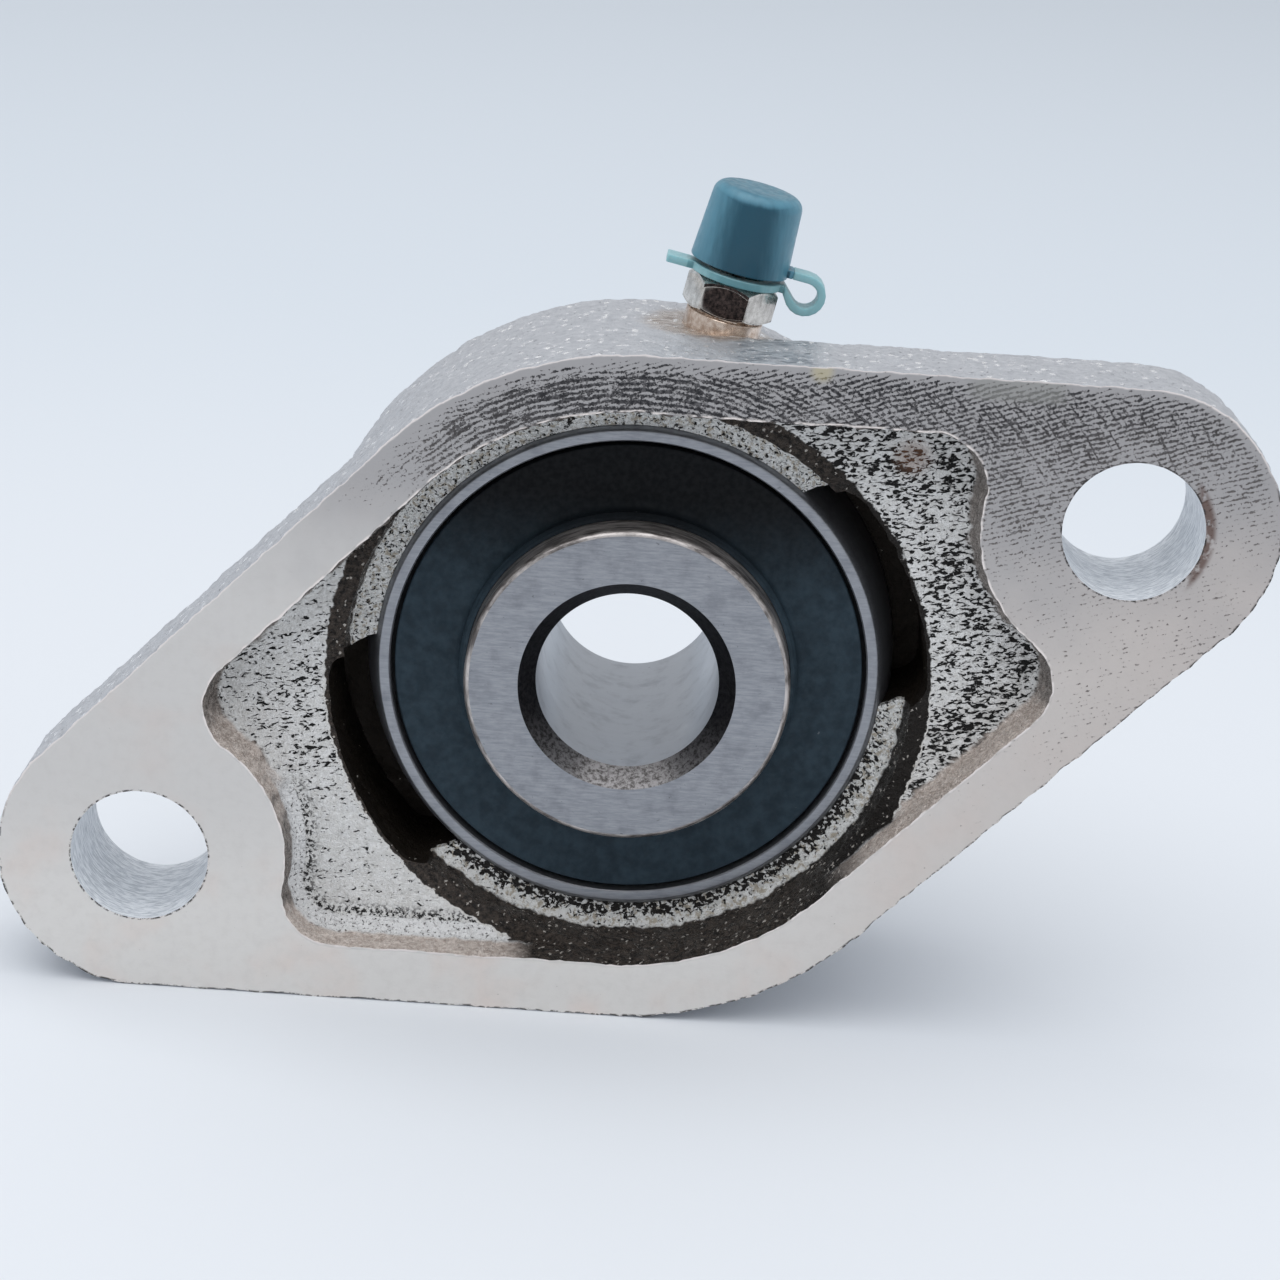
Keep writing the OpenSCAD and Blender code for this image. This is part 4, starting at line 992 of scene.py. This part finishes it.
# rubber moulded over the steel disc: flat outside, with a fillet up to its collar
flinger = {"outY": 6.95, "rimR": 20.42, "thick": 0.9, "round": 0.18, "fillet": 0.75,
           "collarR": 14.72, "collarTo": 6.2, "tipR": 14.45, "footR": 14.16}


def makeFlinger(node, name, mirrored):
    outY, rim, soft = flinger["outY"], flinger["rimR"], flinger["round"]
    footR, tip = flinger["footR"], flinger["collarTo"]
    section = [(footR, outY + flinger["thick"]), (rim, outY + flinger["thick"])]
    section += rounding((rim - soft, outY + soft), soft, 0, -90, 4)
    section += rounding((flinger["collarR"] + flinger["fillet"], outY - flinger["fillet"]),
                        flinger["fillet"], 90, 180, 6)
    section += [(flinger["collarR"], tip - 0.4), (flinger["tipR"], tip - 0.75), (footR, tip - 0.8)]
    if mirrored:
        section = [(r, 2 * middleY - y) for r, y in section]
    piece = spunPiece(name, section)
    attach(piece, bodyOf(node))
    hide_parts(node)
    return piece


ringFaces = {"ringSteel": ringSteel, "chamferSteel": chamferSteel, "boreSteel": boreSteel,
             "ringEdge": ringEdge}


# the finish of a face of the inner ring
def ringFinish(face):
    r = math.hypot(face.center.x, face.center.z) / mm
    if r < insert["boreR"] + 0.05:
        return "boreSteel"
    if r < insert["boreR"] + insert["chamferR"] and abs(face.normal.y) < 0.95:
        return "chamferSteel"
    if abs(face.normal.y) < 0.97:
        return "ringEdge"
    return "ringSteel"


for piece in (makeOuterRing(), makeInnerRing()):
    for material in ringFaces.values():
        piece.data.materials.append(material)
    if piece.name == "innerRing":
        for face in piece.data.polygons:
            face.material_index = list(ringFaces).index(ringFinish(face))
    smoothed(piece, 30)
for node, name, mirrored in (("flinger_back_rubber", "flingerBackRubber", False),
                             ("flinger_front_rubber", "flingerFrontRubber", True)):
    piece = makeFlinger(node, name, mirrored)
    piece.data.materials.append(flingerRubber)
    smoothed(piece, 30)

# the cap over the nipple: a thick tapered cup with a lug for its strap
cap = {"foot": 35.5, "high": 6.9, "footR": 4.3, "waistR": 4.08, "waistRise": 3.6, "topR": 3.95,
       "round": 1.1, "crownR": 1.4, "crownDrop": 0.04, "middleDrop": 0.06, "hollowR": 3.6,
       "roof": 0.85, "hollowRound": 0.7, "rimRound": 0.16, "lugW": 2.2, "lugT": 0.7,
       "lugRise": 0.25, "lugReach": 4.7, "lugInside": 0.3, "lugRound": 0.12}


# from a piece drawn round Y, with its lug along X, to the nipple's place on the housing
def nippleFrame():
    axis = Vector(nippleAxis)
    tab = Vector((-axis.z, 0, axis.x))
    turn = Matrix((tab, axis, Vector((0, 1, 0)))).transposed().to_4x4()
    return Matrix.Translation((0, middleY * mm, 0)) @ turn


def makeCap():
    foot, top = cap["foot"], cap["foot"] + cap["high"]
    rim, roof = cap["rimRound"], cap["foot"] + cap["high"] - cap["roof"]
    section = [(cap["hollowR"], foot + rim), (cap["hollowR"] + rim, foot)]
    section += rounding((cap["footR"] - rim, foot + rim), rim, -90, 0, 3)
    section += [(cap["waistR"], foot + cap["waistRise"])]
    section += rounding((cap["topR"] - cap["round"], top - cap["round"]), cap["round"], 0, 80, 8)
    section += [(cap["crownR"], top - cap["crownDrop"]), (0, top - cap["middleDrop"]), (0, roof)]
    section += rounding((cap["hollowR"] - cap["hollowRound"], roof - cap["hollowRound"]),
                        cap["hollowRound"], 90, 0, 4)
    piece = spunPiece("nippleCap", section, 96)
    start = cap["hollowR"] + cap["lugInside"]
    deselectAll()
    bpy.ops.mesh.primitive_cube_add(size=mm, location=(
        -(cap["lugReach"] + start) / 2 * mm, (foot + cap["lugRise"] + cap["lugT"] / 2) * mm, 0))
    lug = bpy.context.object
    bpy.ops.transform.resize(value=(cap["lugReach"] - start, cap["lugT"], cap["lugW"]))
    bpy.ops.object.transform_apply(location=True, rotation=False, scale=True)
    modified(lug, "BEVEL", width=cap["lugRound"] * mm, segments=2)
    modified(piece, "BOOLEAN", operation="UNION", object=lug, solver="EXACT")
    bpy.data.objects.remove(lug)
    piece.data.transform(nippleFrame())
    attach(piece, "cap_body")
    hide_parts("nipple_cap")
    return piece


hexagon = {"foot": 31.3, "top": 34.3, "cornerR": 4.06, "turn": 20, "topR": 3.1, "topDrop": 0.9,
           "footR": 3.35, "footRise": 0.5, "collarR": 3.4, "collarFoot": 29.2, "collarDrop": 0.2,
           "round": 0.15, "neckR": 3.1, "neckDrop": 0.3, "neckRise": 0.1, "latheSpare": 0.1,
           "overlap": 0.02, "edgeRound": 0.05}


# the hexagon with its turned chamfers, and the collar it stands on
def makeHexagon():
    foot, top, cornerR = hexagon["foot"], hexagon["top"], hexagon["cornerR"]
    spare = hexagon["overlap"]
    deselectAll()
    bpy.ops.mesh.primitive_cylinder_add(
        vertices=6, radius=cornerR * mm, depth=(top - foot + 2 * spare) * mm,
        location=(0, (foot + top) / 2 * mm, 0),
        rotation=(math.pi / 2, math.radians(hexagon["turn"]), 0))
    piece = bpy.context.object
    piece.name = "nippleHexagon"
    bpy.ops.object.transform_apply(location=True, rotation=True, scale=True)
    outR = cornerR + hexagon["latheSpare"]
    lathe = spunPiece("lathe", [(0, foot - spare), (hexagon["footR"], foot - spare),
                                (outR, foot + hexagon["footRise"]),
                                (outR, top - hexagon["topDrop"]),
                                (hexagon["topR"], top + spare), (0, top + spare)], 96)
    modified(piece, "BOOLEAN", operation="INTERSECT", object=lathe, solver="EXACT")
    bpy.data.objects.remove(lathe)
    collarR, soft = hexagon["collarR"], hexagon["round"]
    collarTop = foot - hexagon["collarDrop"]
    section = [(0, hexagon["collarFoot"]), (collarR, hexagon["collarFoot"])]
    section += rounding((collarR - soft, collarTop - soft), soft, 0, 90, 4) + [(0, collarTop)]
    collar = spunPiece("collar", section, 96)
    neckR, low, high = hexagon["neckR"], foot - hexagon["neckDrop"], foot + hexagon["neckRise"]
    neck = spunPiece("neck", [(0, low), (neckR, low), (neckR, high), (0, high)], 96)
    for part in (collar, neck):
        modified(piece, "BOOLEAN", operation="UNION", object=part, solver="EXACT")
        bpy.data.objects.remove(part)
    modified(piece, "BEVEL", width=hexagon["edgeRound"] * mm, segments=2, limit_method="ANGLE",
             angle_limit=math.radians(25))
    piece.data.transform(nippleFrame())
    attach(piece, bodyOf("grease_nipple"))
    return piece


def nippleMetalMaterial():
    material, tree, shader, place = newMaterial("nippleMetal", screen(200, 195, 188), Metallic=0.9,
                                                Roughness=0.2)
    where = place.outputs["Millimetres"]
    onNipple = useGroup(tree, nipplePlaceGroup)
    height = onNipple.outputs["Height"]
    cloudy = noiseOf(tree, where, 1.4, 4, 0.6)
    tone = blendColours(tree, fade(tree, cloudy, 0.3, 0.7), screen(186, 182, 176),
                        screen(226, 222, 216))
    facing = facingOf(tree)
    # the flat facing the front is painted dark, a painted reflection; its neighbour keeps the fine
    # lines of the draw
    frontFlat = fade(tree, facing[1], -0.955, -0.975)
    paintedDarkReflection = blendColours(tree, fade(tree, noiseOf(tree, where, 3.0, 5, 0.75), 0.35, 0.7),
                         screen(24, 21, 21), screen(84, 72, 68))
    tone = blendColours(tree, frontFlat, tone, paintedDarkReflection)
    rightFlat = times(tree, fade(tree, facing[0], 0.7, 0.85), fade(tree, facing[1], 0.0, -0.2))
    lines = noiseOf(tree, turned(tree, where, 12, (3.5, 3.5, 0.4)), 1.2, 3, 0.6)
    drawn = blendColours(tree, fade(tree, lines, 0.4, 0.6), screen(112, 106, 104),
                         screen(190, 186, 182))
    tone = blendColours(tree, rightFlat, tone, drawn)
    # brassy under the hexagon, where the plating is thin
    foot = fade(tree, height, 31.25, 31.2)
    brass = blendColours(tree, fade(tree, cloudy, 0.3, 0.7), screen(176, 152, 134),
                         screen(232, 216, 202))
    tone = blendColours(tree, foot, tone, brass)
    join(tree, tone, shader.inputs["Base Color"])
    rough = fade(tree, noiseOf(tree, where, 3.0, 3), 0.3, 0.7, 0.14, 0.3)
    join(tree, rough, shader.inputs["Roughness"])
    bump(tree, shader, noiseOf(tree, where, 4.0, 3), 0.02, 0.4)
    return material


nippleMetal = nippleMetalMaterial()
hexagonPiece = makeHexagon()
hexagonPiece.data.materials.append(nippleMetal)
smoothed(hexagonPiece, 20)

capPiece = makeCap()
capPiece.data.materials.append(capPlastic)
smoothed(capPiece, 35)

# pieces whose CAD form is right: a smooth copy stands for each
copies = {
    "set_screw_1": ("setScrew1", blackSteel, "black_steel", 32),
    "set_screw_2": ("setScrew2", blackSteel, "black_steel", 32),
    "grease_nipple": ("greaseNipple", nippleMetal, "nipple_plating", 16),
}
for node, (name, material, slotName, angle) in copies.items():
    piece = copyOf(node, name, bodyOf(node))
    piece.data.materials.append(material)
    smoothed(piece, angle)

# the moulded ring and strap have soft edges
strap = {"soften": 0.13, "fixedBelow": 34.9, "freeAbove": 36.0}
for node, name in (("cap_neck_ring", "capNeckRing"), ("cap_strap", "capStrap")):
    piece = copyOf(node, name, bodyOf(node) if node == "cap_neck_ring" else None)
    modified(piece, "BEVEL", width=strap["soften"] * mm, segments=3, limit_method="ANGLE",
             angle_limit=math.radians(50))
    piece.data.materials.append(strapPlastic)
    smoothed(piece, 35)
    if node == "cap_strap":
        start, end = (nippleFrame() @ Vector((0, h * mm, 0))
                      for h in (strap["fixedBelow"], strap["freeAbove"]))
        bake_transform(piece)

nodeMaterials = {"cage": cageSteel, "seal_back_core": cageSteel, "seal_front_core": cageSteel,
                 "seal_back_rubber": sealRubber, "seal_front_rubber": sealRubber,
                 "flinger_back_disc": blackSteel, "flinger_front_disc": blackSteel,
                 "ball": ballSteel, "nipple_ball": ballSteel, "nipple_spring": springSteel}
for node, piece in frame["nodes"].items():
    for start, material in nodeMaterials.items():
        if node.startswith(start):
            piece.data.materials.clear()
            piece.data.materials.append(material)
print("pieces and materials made")


# the studio: a plain pale floor and soft light from above
studio = {"floorSize": 8.0, "nearFloor": (228, 232, 237), "farFloor": (219, 226, 233),
          "keyPower": 5.4, "keySize": 1.1, "keyAt": (-0.05, -0.16, 0.85), "worldStrength": 0.74,
          "world": (235, 238, 243), "fadeFrom": 50, "fadeTo": 300}


def addLight(name, at, towards, size, power):
    light = bpy.data.lights.new(name, "AREA")
    light.size = size
    light.energy = power
    lamp = bpy.data.objects.new(name, light)
    scene.collection.objects.link(lamp)
    lamp.location = at
    lamp.rotation_mode = "QUATERNION"
    lamp.rotation_quaternion = (Vector(towards) - Vector(at)).to_track_quat("-Z", "Y")


def floorMaterial():
    material, tree, shader, place = newMaterial("studioFloor", screen(*studio["nearFloor"]),
                                                Roughness=0.75)
    shader.inputs["Specular IOR Level"].default_value = 0.1
    # the floor is painted a little darker far from the part: painted shade of the light falling off
    away = fade(tree, place.outputs["Along Bore"], studio["fadeFrom"], studio["fadeTo"])
    join(tree, blendColours(tree, away, screen(*studio["nearFloor"]), screen(*studio["farFloor"])),
         shader.inputs["Base Color"])
    return material


def makeStudio():
    deselectAll()
    bpy.ops.mesh.primitive_plane_add(size=studio["floorSize"], location=(0, 0, cadBox[0].z))
    floor = bpy.context.object
    floor.name = "studioFloor"
    floor.data.materials.append(floorMaterial())
    addLight("keyLight", studio["keyAt"], (0, 0, 0), studio["keySize"], studio["keyPower"])
    world = bpy.data.worlds.new("studio")
    world.use_nodes = True
    sky = world.node_tree.nodes["Background"]
    sky.inputs["Color"].default_value = (*screen(*studio["world"]), 1)
    sky.inputs["Strength"].default_value = studio["worldStrength"]
    scene.world = world
    scene.view_settings.view_transform = "Standard"


makeStudio()
print("studio made")
